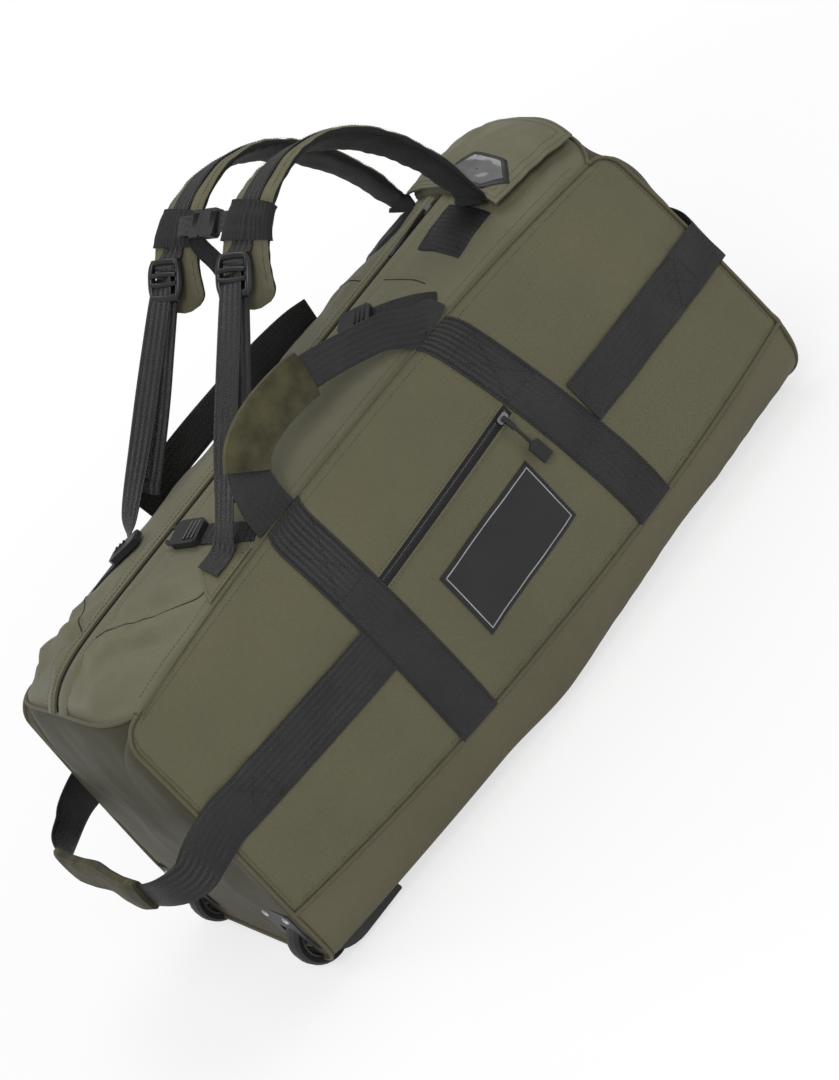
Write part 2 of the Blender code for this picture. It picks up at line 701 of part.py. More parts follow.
def foot(name, side):
    """Ribbed foot under the fold line, with two pegs up through the bottom and the board."""
    top = BOOT_CLEARANCE - GAP
    base = 0.0045
    half_x, half_y = FOOT_WIDE / 2, FOOT_LONG / 2
    middle = side * FOOT_Y
    pitch = FOOT_LONG / (FOOT_RIBS - 0.38)
    rib = pitch * 0.62
    outline = [(middle - half_y, top)]
    for k in range(FOOT_RIBS):
        left = middle - half_y + k * pitch
        outline += [(left, 0.0), (left + rib, 0.0)]
        if k < FOOT_RIBS - 1:
            outline += [(left + rib, top - base), (left + pitch, top - base)]
    outline += [(middle + half_y, top)]
    body = prism(name, outline, "YZ", FOOT_X - half_x, FOOT_X + half_x, plastic)
    for tag, shift in (("a", -FOOT_PEG), ("b", FOOT_PEG)):
        cut(body, peg(name + "_peg_" + tag, FOOT_X, middle + shift, PEG_R), 'UNION')
        hole = peg(name + "_hole_" + tag, FOOT_X, middle + shift, PEG_R + GAP)
        cut(boot, hole)
        cut(board, hole)


for side, tag in ((NEAR, "near"), (FAR, "far")):
    shell_room = room_for_housing("room_" + tag, side)
    pocket_room = room_for_pocket("pocket_room_" + tag, side)
    frame = housing("wheel_housing_" + tag, side)
    for panel in (boot, wheel_end):
        cut(panel, shell_room)
        cut(panel, pocket_room)
    cut(board, pocket_room)
    for mark, shift in (("a", -SIDE_SCREW), ("b", SIDE_SCREW)):
        place = (FLANGE_FACE, side * WHEEL_Y + shift, END_SCREW_Z)
        screw("housing_screw_%s_%s" % (tag, mark), place)
        cut(frame, screw_hole("screw_hole_%s_%s" % (tag, mark), place))
    wheel(side, tag)
    foot("foot_" + tag, side)


# ---- webbing on the body ---------------------------------------------------------------------------
def upper_x(v):
    """Centre of the upper vertical webbing, which leans to the wheel end as it rises."""
    return STRAP_UP_X - STRAP_UP_LEAN * max(v, 0.0) ** 1.6


def vertical_edge(centre):
    """Edge function of a vertical strap from the bottom seam to the top seam."""
    return lambda s, t: (centre(t) + (s - 0.5) * WEB_WIDE, 0.004 + 0.990 * t)


for side, tag in ((NEAR, "near"), (FAR, "far")):
    side_patch("webbing_lower_" + tag, side, vertical_edge(lambda t: STRAP_LOW_X), 3, 18, webbing)
    side_patch("webbing_upper_" + tag, side, vertical_edge(upper_x), 3, 18, webbing)


def band_edge(x_start, x_end):
    """Edge function of a horizontal band at BAND_HEIGHT."""
    def at(s, t):
        x = x_start + (x_end - x_start) * s
        u = side_u(x)
        slant = math.hypot(section(u)[2] - section(u)[0], section(u)[1] - section(u)[3])
        return x, side_v(u, BAND_HEIGHT) + (t - 0.5) * WEB_WIDE / slant
    return at


def band_station(x, side, lift):
    """Centre and lean of a horizontal band on a side panel."""
    u = side_u(x)
    v = side_v(u, BAND_HEIGHT)
    low, high = (np.array(side_point(u, v + dv, side, -lift)) for dv in (-0.09, 0.09))
    return np.array(side_point(u, v, side, -lift)), unit(high - low)


def banded_route(start, stop, count, lift, middle):
    """Route and leans of a webbing along the near side, over the middle points and along the far side."""
    edge = abs(band_station(stop, NEAR, lift)[0][1])
    turned_leans = [unit((0.0, -0.26 * (p[1] / edge) ** 3, 1.0)) for p in middle]
    stations = np.linspace(start, stop, count)
    near = [band_station(x, NEAR, lift) for x in stations]
    far = [band_station(x, FAR, lift) for x in stations[::-1]]
    route = [p for p, lean in near] + middle + [p for p, lean in far]
    leans = [lean for p, lean in near] + turned_leans + [lean for p, lean in far]
    return route, leans


BAND_LIFT = GAP + WEB_THICK / 2 + 0.0002


def pull_band():
    """Band that runs from the upper webbing round the pull end and back on the far side."""
    start = upper_x(0.4) + WEB_WIDE / 2 + 0.004
    stop = HALF_BOTTOM - 0.010
    edge = band_station(stop, NEAR, BAND_LIFT)[0][1]
    middle = []
    half_shares = [1.0, 0.96, 0.88, 0.75, 0.55, 0.3]
    for share in half_shares + [0.0] + [-share for share in half_shares[::-1]]:
        reach = HALF_BOTTOM + 0.0006 + END_BULGE_PULL * (1 - abs(share) ** 2.6)
        middle.append(np.array((reach, edge * share, BAND_HEIGHT)))
    route, leans = banded_route(start, stop, 7, BAND_LIFT, middle)
    ribbon("band_pull_end", route, leans, WEB_WIDE, WEB_THICK, 78, webbing)


pull_band()


# ---- handles -------------------------------------------------------------------------------------
HANDLE_THICK = 0.0024        # doubled webbing of the carry handles
GRIP_W, GRIP_T = 0.046, 0.012
END_GRIP_W = 0.038           # width of the wheel-end loop's grip
HANDLE_RISE = 0.430          # height of the carry grips' middle line
FLOPPED_W = 0.038            # width of the far carry handle where it lies down
LOOP_REACH = -0.470          # how far the wheel-end loop stands out
LOOP_DROP = 0.012            # how far the wheel-end loop hangs under its bands


def wrap(name, samples, out_at, outer_width):
    """Wrapped cover round a webbing: samples hold x, y, z and the webbing's width."""
    route = samples[:, :3]
    verts, faces = [], []
    count = 8
    for point, tangent, width in zip(route, np.gradient(route, axis=0), samples[:, 3]):
        out = out_at(unit(tangent))
        side = unit(np.cross(out, unit(tangent)))
        for w, t in ((outer_width, GRIP_T), (width + 0.0022, HANDLE_THICK + 0.0010)):
            verts += [point + side * a + out * b for a, b in ring(w, t, True)]
    last = len(route) - 1
    for k in range(last):
        a, b = k * 2 * count, (k + 1) * 2 * count
        for i in range(count):
            j = (i + 1) % count
            faces.append((a + i, a + j, b + j, b + i))
            faces.append((a + count + j, a + count + i, b + count + i, b + count + j))
    for k in (0, last):
        a = k * 2 * count
        for i in range(count):
            j = (i + 1) % count
            faces.append((a + i, a + j, a + count + j, a + count + i))
    return add_object(name, verts, faces, olive)


def handle_root(x, side):
    """Middle of a handle's root, just above the top seam."""
    top_y, top_z = section(side_u(x))[:2]
    return np.array((x, side * (top_y + WEB_THICK), top_z + 0.0018))


def handle_pivot(x, side):
    """Point on a handle's turning axis, outside its root so that it can fold down over the webbing."""
    return handle_root(x, side) + np.array((0.0, side * HANDLE_THICK, 0.0))


def flopped_handle(side, tag):
    """The same webbing lying along the top seam, edge up."""
    x0, x1 = STRAP_LOW_X - 0.016, upper_x(1.0) + 0.016
    stations = [x0, x0 + 0.030, x0 + 0.075, (x0 + x1) / 2, x1 - 0.075, x1 - 0.030, x1]
    widths = [0.030, 0.036, FLOPPED_W, FLOPPED_W, FLOPPED_W, 0.036, 0.030]
    route = []
    for x, width, out in zip(stations, widths, (0.0, 0.0, 0.004, 0.006, 0.004, 0.0, 0.0)):
        top_y, top_z = section(side_u(x))[:2]
        route.append(np.array((x, side * (top_y + WEB_THICK + out), top_z + 0.0011 + width / 2)))
    loop = ribbon("carry_loop_" + tag, route, UP, widths, HANDLE_THICK, 18, webbing)
    set_origin(loop, handle_pivot(STRAP_LOW_X, side))


def carry_handle(side, tag):
    """Webbing arch above the top seam, in the plane of the side panel, with its wrapped grip."""
    low, high = handle_root(STRAP_LOW_X, side), handle_root(upper_x(1.0), side)
    y = (low[1] + high[1]) / 2
    x0, x1 = low[0], high[0]
    rise = HANDLE_RISE
    route = [low, low + (0.001, 0, 0.022), (x0 + 0.010, y, rise - 0.024), (x0 + 0.027, y, rise - 0.008),
             (x0 + 0.055, y, rise), (x0 + 0.090, y, rise + 0.001), (x0 + 0.120, y, rise - 0.003),
             (x0 + 0.150, y, rise - 0.012), (x1 - 0.073, y, rise - 0.019), (x1 - 0.045, y, rise - 0.029),
             (x1 - 0.016, y, high[2] + 0.024), high + (-0.001, 0, 0.012), high]
    widths = [WEB_WIDE, 0.046, 0.040, 0.036, 0.034, 0.034, 0.034, 0.032, 0.032, 0.032, 0.034, 0.044, 0.046]
    across = [(1, 0, 0), (1, 0, -0.1), (0.9, 0, -0.5), (0.5, 0, -0.9), (0, 0, -1), (0, 0, -1), (-0.1, 0, -1),
              (-0.3, 0, -1), (-0.3, 0, -1), (-0.4, 0, -1), (-1, 0, -0.8), (-1, 0, -0.1), (-1, 0, 0)]
    loop = ribbon("carry_loop_" + tag, route, UP, widths, HANDLE_THICK, 18, webbing)
    set_origin(loop, handle_pivot(STRAP_LOW_X, side))


def carry_handle(side, tag):
    """Webbing arch above the top seam, in the plane of the side panel, with its wrapped grip."""
    low, high = handle_root(STRAP_LOW_X, side), handle_root(upper_x(1.0), side)
    y = (low[1] + high[1]) / 2
    x0, x1 = low[0], high[0]
    rise = HANDLE_RISE
    route = [low, low + (0.001, 0, 0.022), (x0 + 0.016, y, rise - 0.026), (x0 + 0.046, y, rise - 0.004),
             (x0 + 0.085, y, rise), (x0 + 0.130, y, rise - 0.002), (x1 - 0.080, y, rise - 0.010),
             (x1 - 0.042, y, rise - 0.022), (x1 - 0.014, y, high[2] + 0.030), high + (-0.001, 0, 0.014), high]
    widths = [WEB_WIDE, 0.046, 0.038, 0.034, 0.034, 0.034, 0.032, 0.030, 0.032, 0.042, 0.046]
    across = [(1, 0, 0), (1, 0, -0.1), (0.8, 0, -0.5), (0.3, 0, -1), (0, 0, -1), (0, 0, -1), (-0.2, 0, -1),
              (-0.5, 0, -1), (-1, 0, -0.7), (-1, 0, -0.1), (-1, 0, 0)]
    loop = ribbon("carry_loop_" + tag, route, across, widths, HANDLE_THICK, 40, webbing, tips=(True, True))
    samples = smooth_route([(*p, w) for p, w in zip(route, widths)], 40)
    grip = wrap("carry_grip_" + tag, samples[9:20], lambda tangent: np.array(ACROSS), GRIP_W)
    for obj in (loop, grip):
        set_origin(obj, handle_pivot(STRAP_LOW_X, side))


carry_handle(NEAR, "near")
flopped_handle(FAR, "far")


def wheel_end_handle():
    """One webbing: the near band, the loop round the wheel end with its grip, and the far band."""
    z = BAND_HEIGHT - LOOP_DROP
    stop = -HALF_BOTTOM + 0.016
    edge = band_station(stop, NEAR, BAND_LIFT)[0][1]
    near = [(stop - 0.030, edge - 0.0005, BAND_HEIGHT - 0.004), (LOOP_REACH + 0.034, edge + 0.004, z),
            (LOOP_REACH + 0.011, edge + 0.026, z), (LOOP_REACH, edge * 0.55, z), (LOOP_REACH, edge * 0.25, z)]
    far = [(x, -y, h) for x, y, h in near[::-1]]
    middle = [np.array(p) for p in near + [(LOOP_REACH + 0.003, 0.0, z)] + far]
    count = 8
    route, leans = banded_route(STRAP_LOW_X - WEB_WIDE / 2 - GAP - 0.0006, stop, count, BAND_LIFT, middle)
    taper = [0.048, 0.042, 0.034, 0.028, 0.026]
    widths = [WEB_WIDE] * count + taper + [0.026] + taper[::-1] + [WEB_WIDE] * count
    thicks = [WEB_THICK] * count + [HANDLE_THICK] * 11 + [WEB_THICK] * count
    ribbon("wheel_end_loop", route, leans, widths, thicks, 78, webbing)
    samples = smooth_route([(*p, w) for p, w in zip(route, widths)], 78)
    wrap("wheel_end_grip", samples[32:47], lambda tangent: unit(np.cross(UP, tangent)), END_GRIP_W)


wheel_end_handle()


# ---- zips and patch ----------------------------------------------------------------------------------
POCKET_X = (HALF_TOP - 0.121, HALF_TOP - 0.013)   # ends of the lid pocket
FLAP_X = (HALF_TOP - 0.125, HALF_TOP - 0.008)     # ends of its flap
ZIP_START, ZIP_STOP = 0.019 - HALF_TOP, HALF_TOP - 0.017   # ends of the lid's zip
SLIDER_X = FLAP_X[0] - 0.021               # main slider, pulled shut at the pull end
SLIDER_W, SLIDER_L, SLIDER_H = 0.0078, 0.0130, 0.0042
FLAP_NEAR, FLAP_FAR = 0.0016, 0.0150       # edges of the storm flap
FLAP_STOP = POCKET_X[0] - 0.006            # its end beside the lid pocket
POCKET_ZIP = (-0.1135, 0.097)              # ends of the side pocket's zip
POCKET_ZIP_W = 0.0080
POCKET_ZIP_Z = (0.244, 0.2585)             # heights of its ends
PATCH_X = (-0.0735, 0.0745)                # ends of the blank patch
PATCH_LOW = (0.1275, 0.1390)               # heights of its lower corners
PATCH_HIGH = (0.2045, 0.2140)              # heights of its upper corners
PATCH_T = 0.0012


def plate(name, origin, axes, outline, low, high, mat):
    """Flat piece in its own axes: outline lies in the first two, low and high along the third."""
    origin = np.array(origin)
    ex, ey, ez = (np.array(axis) for axis in axes)
    rings = [[origin + ex * a + ey * b + ez * level for a, b in outline] for level in (low, high)]
    return sweep_rings_flat(name, rings, mat, False)


def rectangle(x0, x1, y0, y1, corner=0.0):
    """Outline of a rectangle with cut corners."""
    if not corner:
        return [(x0, y0), (x1, y0), (x1, y1), (x0, y1)]
    c = corner
    return [(x0 + c, y0), (x1 - c, y0), (x1, y0 + c), (x1, y1 - c),
            (x1 - c, y1), (x0 + c, y1), (x0, y1 - c), (x0, y0 + c)]


def axes_from(along, up):
    """Right-handed unit axes: the first along, the third near up."""
    ex = unit(along)
    ez = unit(np.array(up) - ex * np.dot(up, ex))
    return ex, np.cross(ez, ex), ez


def lid_station(s, start, stop):
    """Places along the lid that match its panels' own grid, kept between start and stop."""
    x = HALF_TOP * (1 - SEAM) * (2 * s - 1)
    return start + 0.0001 * s + min(max(x - start, 0.0), stop - start)


def main_zip():
    """Zip strip between the lid halves, storm flap beside it, slider and cord pull."""
    middle = (ZIP_NEAR + ZIP_FAR) / 2

    def strip(s, t):
        return lid_station(s, ZIP_START, ZIP_STOP), ZIP_NEAR + (ZIP_FAR - ZIP_NEAR) * t

    def flap(s, t):
        return lid_station(s, ZIP_START, FLAP_STOP), FLAP_NEAR + (FLAP_FAR - FLAP_NEAR) * t
    lid_patch("main_zip", strip, LID_STATIONS, 1, webbing, -0.0022, 0.0020)
    lid_patch("storm_flap", flap, LID_STATIONS, 3, olive_light, 2 * GAP, 0.0026)
    axes = axes_from((1.0, 0.0, RIDGE_SLOPE), UP)
    place = np.array((SLIDER_X, middle, RIDGE_HEIGHT + RIDGE_SLOPE * SLIDER_X + GAP / 3))
    body = rectangle(-SLIDER_L / 2, SLIDER_L / 2, -SLIDER_W / 2, SLIDER_W / 2, 0.0018)
    slider = plate("main_zip_slider", place, axes, body, 0.0, SLIDER_H, steel)
    set_origin(slider, place)
    hinge = place + axes[2] * (SLIDER_H + 0.0016) - axes[0] * 0.003
    tilt = 0.060
    axes = axes_from(axes[0] * math.cos(tilt) + axes[2] * math.sin(tilt), UP)
    edge = [(-0.062, 0.0032), (-0.036, 0.0032), (-0.032, 0.0014), (-0.002, 0.0014), (0.0008, 0.0014)]
    pull_outline = [(a, -b) for a, b in edge] + edge[::-1]
    pull = plate("main_zip_pull", hinge, axes, pull_outline, -0.0012, 0.0012, webbing)
    set_origin(pull, hinge)


def pocket_zip():
    """Straight zip on the near side panel with its slider and moulded pull, over the blank patch."""
    ends = []
    for x, z in zip(POCKET_ZIP, POCKET_ZIP_Z):
        u = side_u(x)
        ends.append(np.array(side_point(u, side_v(u, z), NEAR)))
    middle_u = side_u(sum(POCKET_ZIP) / 2)
    middle_z = sum(POCKET_ZIP_Z) / 2
    crest = np.array(side_point(middle_u, side_v(middle_u, middle_z), NEAR))
    above = np.array(side_point(middle_u, side_v(middle_u, middle_z + 0.01), NEAR))
    below = np.array(side_point(middle_u, side_v(middle_u, middle_z - 0.01), NEAR))
    along = unit(ends[1] - ends[0])
    outwards = unit(np.cross(above - below, along) * -1)
    outwards = outwards if outwards[1] < 0 else -outwards
    axes = axes_from(along, outwards)
    half = (ends[1][0] - ends[0][0]) / 2
    base = crest + axes[2] * GAP / 2
    strip = rectangle(-half, half, -POCKET_ZIP_W / 2, POCKET_ZIP_W / 2)
    plate("pocket_zip", base, axes, strip, 0.0, 0.0014, webbing)
    place = base + axes[0] * (half - 0.009) + axes[2] * (0.0014 + GAP)
    body = rectangle(-SLIDER_L / 2, SLIDER_L / 2, -SLIDER_W / 2, SLIDER_W / 2, 0.0018)
    set_origin(plate("pocket_zip_slider", place, axes, body, 0.0, SLIDER_H, steel), place)
    hinge = place + axes[2] * (SLIDER_H + 0.0016)
    down = 1 if axes[1][2] < 0 else -1
    steps = [(-0.0008, 0.0026), (0.014, 0.0026), (0.016, 0.0013), (0.036, 0.0013),
             (0.039, 0.0072), (0.060, 0.0072)]
    outline = [(w, down * d) for d, w in steps] + [(-w, down * d) for d, w in steps[::-1]]
    set_origin(plate("pocket_zip_pull", hinge, axes, outline, -0.0013, 0.0013, plastic), hinge)


def patch():
    """Blank rectangular patch on the near side."""
    def edge(s, t):
        x = PATCH_X[0] + (PATCH_X[1] - PATCH_X[0]) * s
        low = PATCH_LOW[0] + (PATCH_LOW[1] - PATCH_LOW[0]) * s
        high = PATCH_HIGH[0] + (PATCH_HIGH[1] - PATCH_HIGH[0]) * s
        return x, side_v(side_u(x), low + (high - low) * t)
    side_patch("side_patch", NEAR, edge, 8, 6, label, -GAP, PATCH_T)


main_zip()
pocket_zip()
patch()


# ---- lid pocket with its flap -------------------------------------------------------------------------
POCKET_Y = (-0.082, 0.046)   # its near and far edges
POCKET_DEEP = 0.012          # how far it stands up
POCKET_LIFT = 0.0009         # its underside over the lid
FLAP_Y = (-0.088, 0.052)     # free edge and hinge of the flap
FLAP_T = 0.0022


def lid_pocket():
    """Flat box pocket on the lid, and the flap that folds over it from the far side."""
    def body(s, t):
        return (POCKET_X[0] + (POCKET_X[1] - POCKET_X[0]) * s, POCKET_Y[0] + (POCKET_Y[1] - POCKET_Y[0]) * t)

    def cover(s, t):
        return FLAP_X[0] + (FLAP_X[1] - FLAP_X[0]) * s, FLAP_Y[0] + (FLAP_Y[1] - FLAP_Y[0]) * t
    lid_patch("lid_pocket", body, 6, 8, olive_light, POCKET_LIFT, POCKET_DEEP)
    lift = POCKET_LIFT + POCKET_DEEP + 2 * GAP
    flap = lid_patch("lid_pocket_flap", cover, 8, 10, olive_light, lift, FLAP_T)
    hinge = [np.array(lid_point(x / HALF_TOP, FLAP_Y[1] / section(x / HALF_TOP)[0], -lift)) for x in FLAP_X]
    set_origin(flap, (hinge[0] + hinge[1]) / 2)


lid_pocket()


# ---- shoulder straps ------------------------------------------------------------------------------
LOCK_W, LOCK_L, LOCK_BAR, LOCK_T = 0.038, 0.032, 0.0036, 0.0040
LOCK_TURN = 0.62             # how far the lock turns from the pad's line to the lower webbing's
BAR_TURN = 0.0038            # radius of the webbing round a bar
RAIL_GAP = 0.0009
PAD_ROOT_X = POCKET_X[0] - 0.012           # where the pads leave the lid
# Pad arch: distance back from the root, shift from PAD_ROOT_Y towards PAD_TOP_Y as a share, height.
PAD_ARCH = [(0.0000, 0.46, 0.4130), (0.0130, 0.67, 0.4570), (0.0440, 0.83, 0.5120), (0.0840, 1.00, 0.5500),
            (0.1260, 1.00, 0.5670), (0.1660, 1.00, 0.5660), (0.2030, 1.00, 0.5520), (0.2290, 1.00, 0.5290),
            (0.2450, 1.00, 0.5060), (0.2530, 1.00, 0.4880)]
STRAP_END = (-0.222, 0.099)  # x and distance from the middle of the lower webbing's end on the lid
TAIL = 0.190                 # loose tail of the lower webbing


def lid_frame(x, y):
    """Point on the lid with its lean across the bag and its outward normal."""
    here = np.array((x, y, lid_height(x, y)))
    step = 0.004
    across = unit((0.0, 2 * step, lid_height(x, y + step) - lid_height(x, y - step)))
    along = unit((2 * step, 0.0, lid_height(x + step, y) - lid_height(x - step, y)))
    normal = np.cross(along, across)
    return here, across, normal if normal[2] > 0 else -normal


def shoulder_strap(side, tag):
    """Padded strap on the lid, its webbing, the ladder lock and the lower webbing with its tail."""
    sign = np.array((1.0, side, 1.0))
    route, leans, thick, width = [], [], [], []
    for back, t, lift in ((0.060, 0.0022, 0.0), (0.034, 0.0022, 0.0), (0.010, 0.0026, 0.003)):
        here, across, normal = lid_frame(PAD_ROOT_X - back, side * PAD_ROOT_Y)
        route.append(here + normal * (t / 2 + 0.0006 + lift))
        leans.append(across)
        thick.append(t)
        width.append(0.050)
    here, across, normal = lid_frame(PAD_ROOT_X, side * PAD_ROOT_Y)
    route.append(here + normal * 0.013)
    leans.append(across)
    thick.append(0.0034)
    width.append(0.050)
    for k, (back, share, z) in enumerate(PAD_ARCH):
        y = PAD_ROOT_Y + (PAD_TOP_Y - PAD_ROOT_Y) * share
        route.append(np.array((PAD_ROOT_X - back, y, z)) * sign)
        leans.append(np.array(ACROSS))
        thick.append(min(PAD_T, 0.0050 + 0.0025 * k))
        width.append(0.050 if k == 0 else (0.036 if k == len(PAD_ARCH) - 1 else PAD_W))
    steps = 3 * (len(route) - 1)
    ribbon("shoulder_pad_" + tag, route, leans, width, thick, steps, olive, rounded=True)
    table = smooth_route([(*p, *a, t) for p, a, t in zip(route, leans, thick)], steps)
    path = table[:, :3]
    outer = []
    hub = np.array((PAD_ROOT_X - 0.156, side * PAD_TOP_Y, 0.400))
    for point, (tangent, lean, through), t in zip(path, frames(path, table[:, 3:6]), table[:, 6]):
        out = through if np.dot(through, point - hub) > 0 else -through
        outer.append((point + out * (t / 2 + WEB_THICK / 2 + RAIL_GAP), out, unit(tangent)))
    return outer


def ladder(side, tag, outer):
    """Webbing along the pad, ladder lock at its end and the lower webbing down to the lid."""
    first, last = 4 * 3 + 2, len(outer) - 8
    place, out, down = outer[last]
    across = np.array(ACROSS)
    end_x, end_y = STRAP_END
    here, lean, normal = lid_frame(end_x, side * end_y)
    near_lid, lean2, normal2 = lid_frame(end_x + 0.024, side * end_y)
    foot_point = near_lid + normal2 * 0.0050
    bar = LOCK_L / 2 - LOCK_BAR / 2
    top_bar = place + down * 0.012 + out * BAR_TURN
    down = unit(down * (1 - LOCK_TURN) + unit((foot_point - top_bar) * (1, 0, 1)) * LOCK_TURN)
    out = unit(out - down * np.dot(out, down))
    lock = top_bar + down * bar

    def at(along, off):
        return lock + down * along + out * off

    def round_bar(middle, way):
        turns = [math.pi * k / 4 for k in range(5)]
        return [at(middle + way * BAR_TURN * math.sin(a), -BAR_TURN * math.cos(a)) for a in turns]
    rail = [point for point, n, tangent in outer[first:last:2]] + [place]
    rail += round_bar(-bar, 1) + [at(-bar - 0.009, 0.0042)]
    ribbon("pad_webbing_" + tag, rail, ACROSS, WEB_NARROW, WEB_THICK, 2 * len(rail), webbing)
    axes = (across, down, out)
    outline = rectangle(-LOCK_W / 2, LOCK_W / 2, -LOCK_L / 2, LOCK_L / 2, 0.004)
    frame = plate("ladder_lock_" + tag, lock, axes, outline, -LOCK_T / 2, LOCK_T / 2, plastic)
    slot = (LOCK_L - 3 * LOCK_BAR) / 2
    for mark, start in (("a", -LOCK_L / 2 + LOCK_BAR), ("b", LOCK_BAR / 2)):
        hole = rectangle(-WEB_NARROW / 2 - 0.0015, WEB_NARROW / 2 + 0.0015, start, start + slot)
        cut(frame, cutter(plate("slot_%s_%s" % (tag, mark), lock, axes, hole, -0.01, 0.01, plastic)))
    back = at(LOCK_L / 2 + 0.002, -0.0046)
    front = at(LOCK_L / 2 + 0.002, 0.0046)
    straight = unit(foot_point - back)
    route = [here + normal * 0.0014, near_lid + normal2 * 0.0026, foot_point + (0.020, 0, 0.016)]
    route += [back + straight * reach for reach in (0.150, 0.100, 0.050, 0.0)]
    route += round_bar(0.0, -1)
    route += [front + straight * reach for reach in (0.0, 0.050, 0.100, TAIL)]
    leans = [lean, lean2] + [across] * (len(route) - 2)
    ribbon("lower_webbing_" + tag, route, leans, WEB_NARROW, WEB_THICK, 2 * (len(route) - 1), webbing)


for side, tag in ((NEAR, "near"), (FAR, "far")):
    pad_outer = shoulder_strap(side, tag)
    ladder(side, tag, pad_outer)


# ---- sternum strap ------------------------------------------------------------------------------------
STERNUM_AT = PAD_ROOT_X - 0.206            # x of the sternum strap on the pads
STERNUM_W = 0.020            # width of its webbing
BUCKLE_W, BUCKLE_T = 0.028, 0.009
SOCKET_Y = (-0.026, 0.002)   # ends of the socket
PLUG_Y = (0.0023, 0.024)     # ends of the plug's body
TONGUE_Y = -0.014            # tip of the plug's tongue
TONGUE_W, TONGUE_T = 0.018, 0.0044


def sternum(outer):
    """Two webbings from the pads to a side-release buckle in the middle, all in the near pad's frame."""
    point, out, tangent = min(outer, key=lambda row: abs(row[0][0] - STERNUM_AT) + (row[0][2] < 0.5))
    centre = np.array((point[0], 0.0, point[2])) + out * (WEB_THICK + GAP)
    axes = (np.array(ACROSS), np.cross(out, ACROSS), out)

    def block(name, y0, y1, width, thick, mat, corner=0.0):
        outline = rectangle(y0, y1, -width / 2, width / 2, corner)
        return plate(name, centre, axes, outline, -thick / 2, thick / 2, mat)
    socket = block("sternum_socket", *SOCKET_Y, BUCKLE_W, BUCKLE_T, plastic, 0.003)
    cut(socket, cutter(block("socket_room", TONGUE_Y - 0.002, SOCKET_Y[1] + 0.01, TONGUE_W + 2 * GAP,
                             TONGUE_T + 2 * GAP, plastic)))
    plug = block("sternum_plug", *PLUG_Y, BUCKLE_W, BUCKLE_T, plastic, 0.003)
    cut(plug, cutter(block("plug_tongue", TONGUE_Y, PLUG_Y[0] + 0.002, TONGUE_W, TONGUE_T, plastic)), 'UNION')
    depth = 0.006
    mouths = ((socket, SOCKET_Y[0] - 0.01, SOCKET_Y[0] + depth), (plug, PLUG_Y[1] - depth, PLUG_Y[1] + 0.01))
    for obj, y0, y1 in mouths:
        cut(obj, cutter(block(obj.name + "_mouth", y0, y1, STERNUM_W + 2 * GAP, WEB_THICK + 2 * GAP, plastic)))
    reach = PAD_TOP_Y + WEB_NARROW / 2 + 0.002
    block("sternum_strap_near", -reach, SOCKET_Y[0] + depth - GAP, STERNUM_W, WEB_THICK, webbing)
    block("sternum_strap_far", PLUG_Y[1] - depth + GAP, reach, STERNUM_W, WEB_THICK, webbing)


sternum(pad_outer)


# ---- compression straps ---------------------------------------------------------------------------------
BUCKLE_L = 0.036             # length of a compression buckle half
STRAPS = (("near_upper", (0.140, -0.103), (0.076, -0.026)),
          ("near_lower", (-0.166, -0.109), (-0.194, -0.028)),
          ("far_lower", (-0.266, 0.103), (-0.199, 0.048)))


def compression_strap(tag, anchor, tip):
    """Short webbing lying on the lid from its seam, with a buckle half at its free end."""
    anchor, tip = np.array(anchor), np.array(tip)
    length = np.linalg.norm(tip - anchor)
    along = (tip - anchor) / length
    aside = np.array((-along[1], along[0]))
    lift = 3 * GAP
    reach = (length - BUCKLE_L + 0.008) / length

    def edge(s, t):
        return anchor + (tip - anchor) * reach * s + aside * (t - 0.5) * WEB_NARROW
    strap = lid_patch("compression_strap_" + tag, edge, 8, 4, webbing, lift, WEB_THICK)
    back = anchor + along * (length - BUCKLE_L)
    ends = [np.array((*place, lid_height(*place))) for place in (back, tip)]
    wide = [np.array((*place, lid_height(*place))) for place in (back - aside * 0.01, back + aside * 0.01)]
    axes = axes_from(ends[1] - ends[0], np.cross(ends[1] - ends[0], wide[1] - wide[0]))
    base = ends[0] + axes[2] * (lift + WEB_THICK + 3 * GAP)
    outline = rectangle(0.0, BUCKLE_L, -0.015, 0.015, 0.004)
    buckle = plate("compression_buckle_" + tag, base, axes, outline, 0.0, 0.007, plastic)
    hinge = np.array((*anchor, lid_height(*anchor))) + (0, 0, lift + WEB_THICK)
    for obj in (strap, buckle):
        set_origin(obj, hinge)


for strap_tag, strap_anchor, strap_tip in STRAPS:
    compression_strap(strap_tag, strap_anchor, strap_tip)
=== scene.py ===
"""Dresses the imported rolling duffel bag: fabric skins, webbing, zips, pads, buckles and their materials.

Everything is in metres in the part's own frame: the bag lies on the floor, +X runs to the pull end,
-Y is the pocket side and +Z is up through the lid.
"""

import math

import bmesh
import bpy
import numpy as np
from mathutils import Matrix, Vector


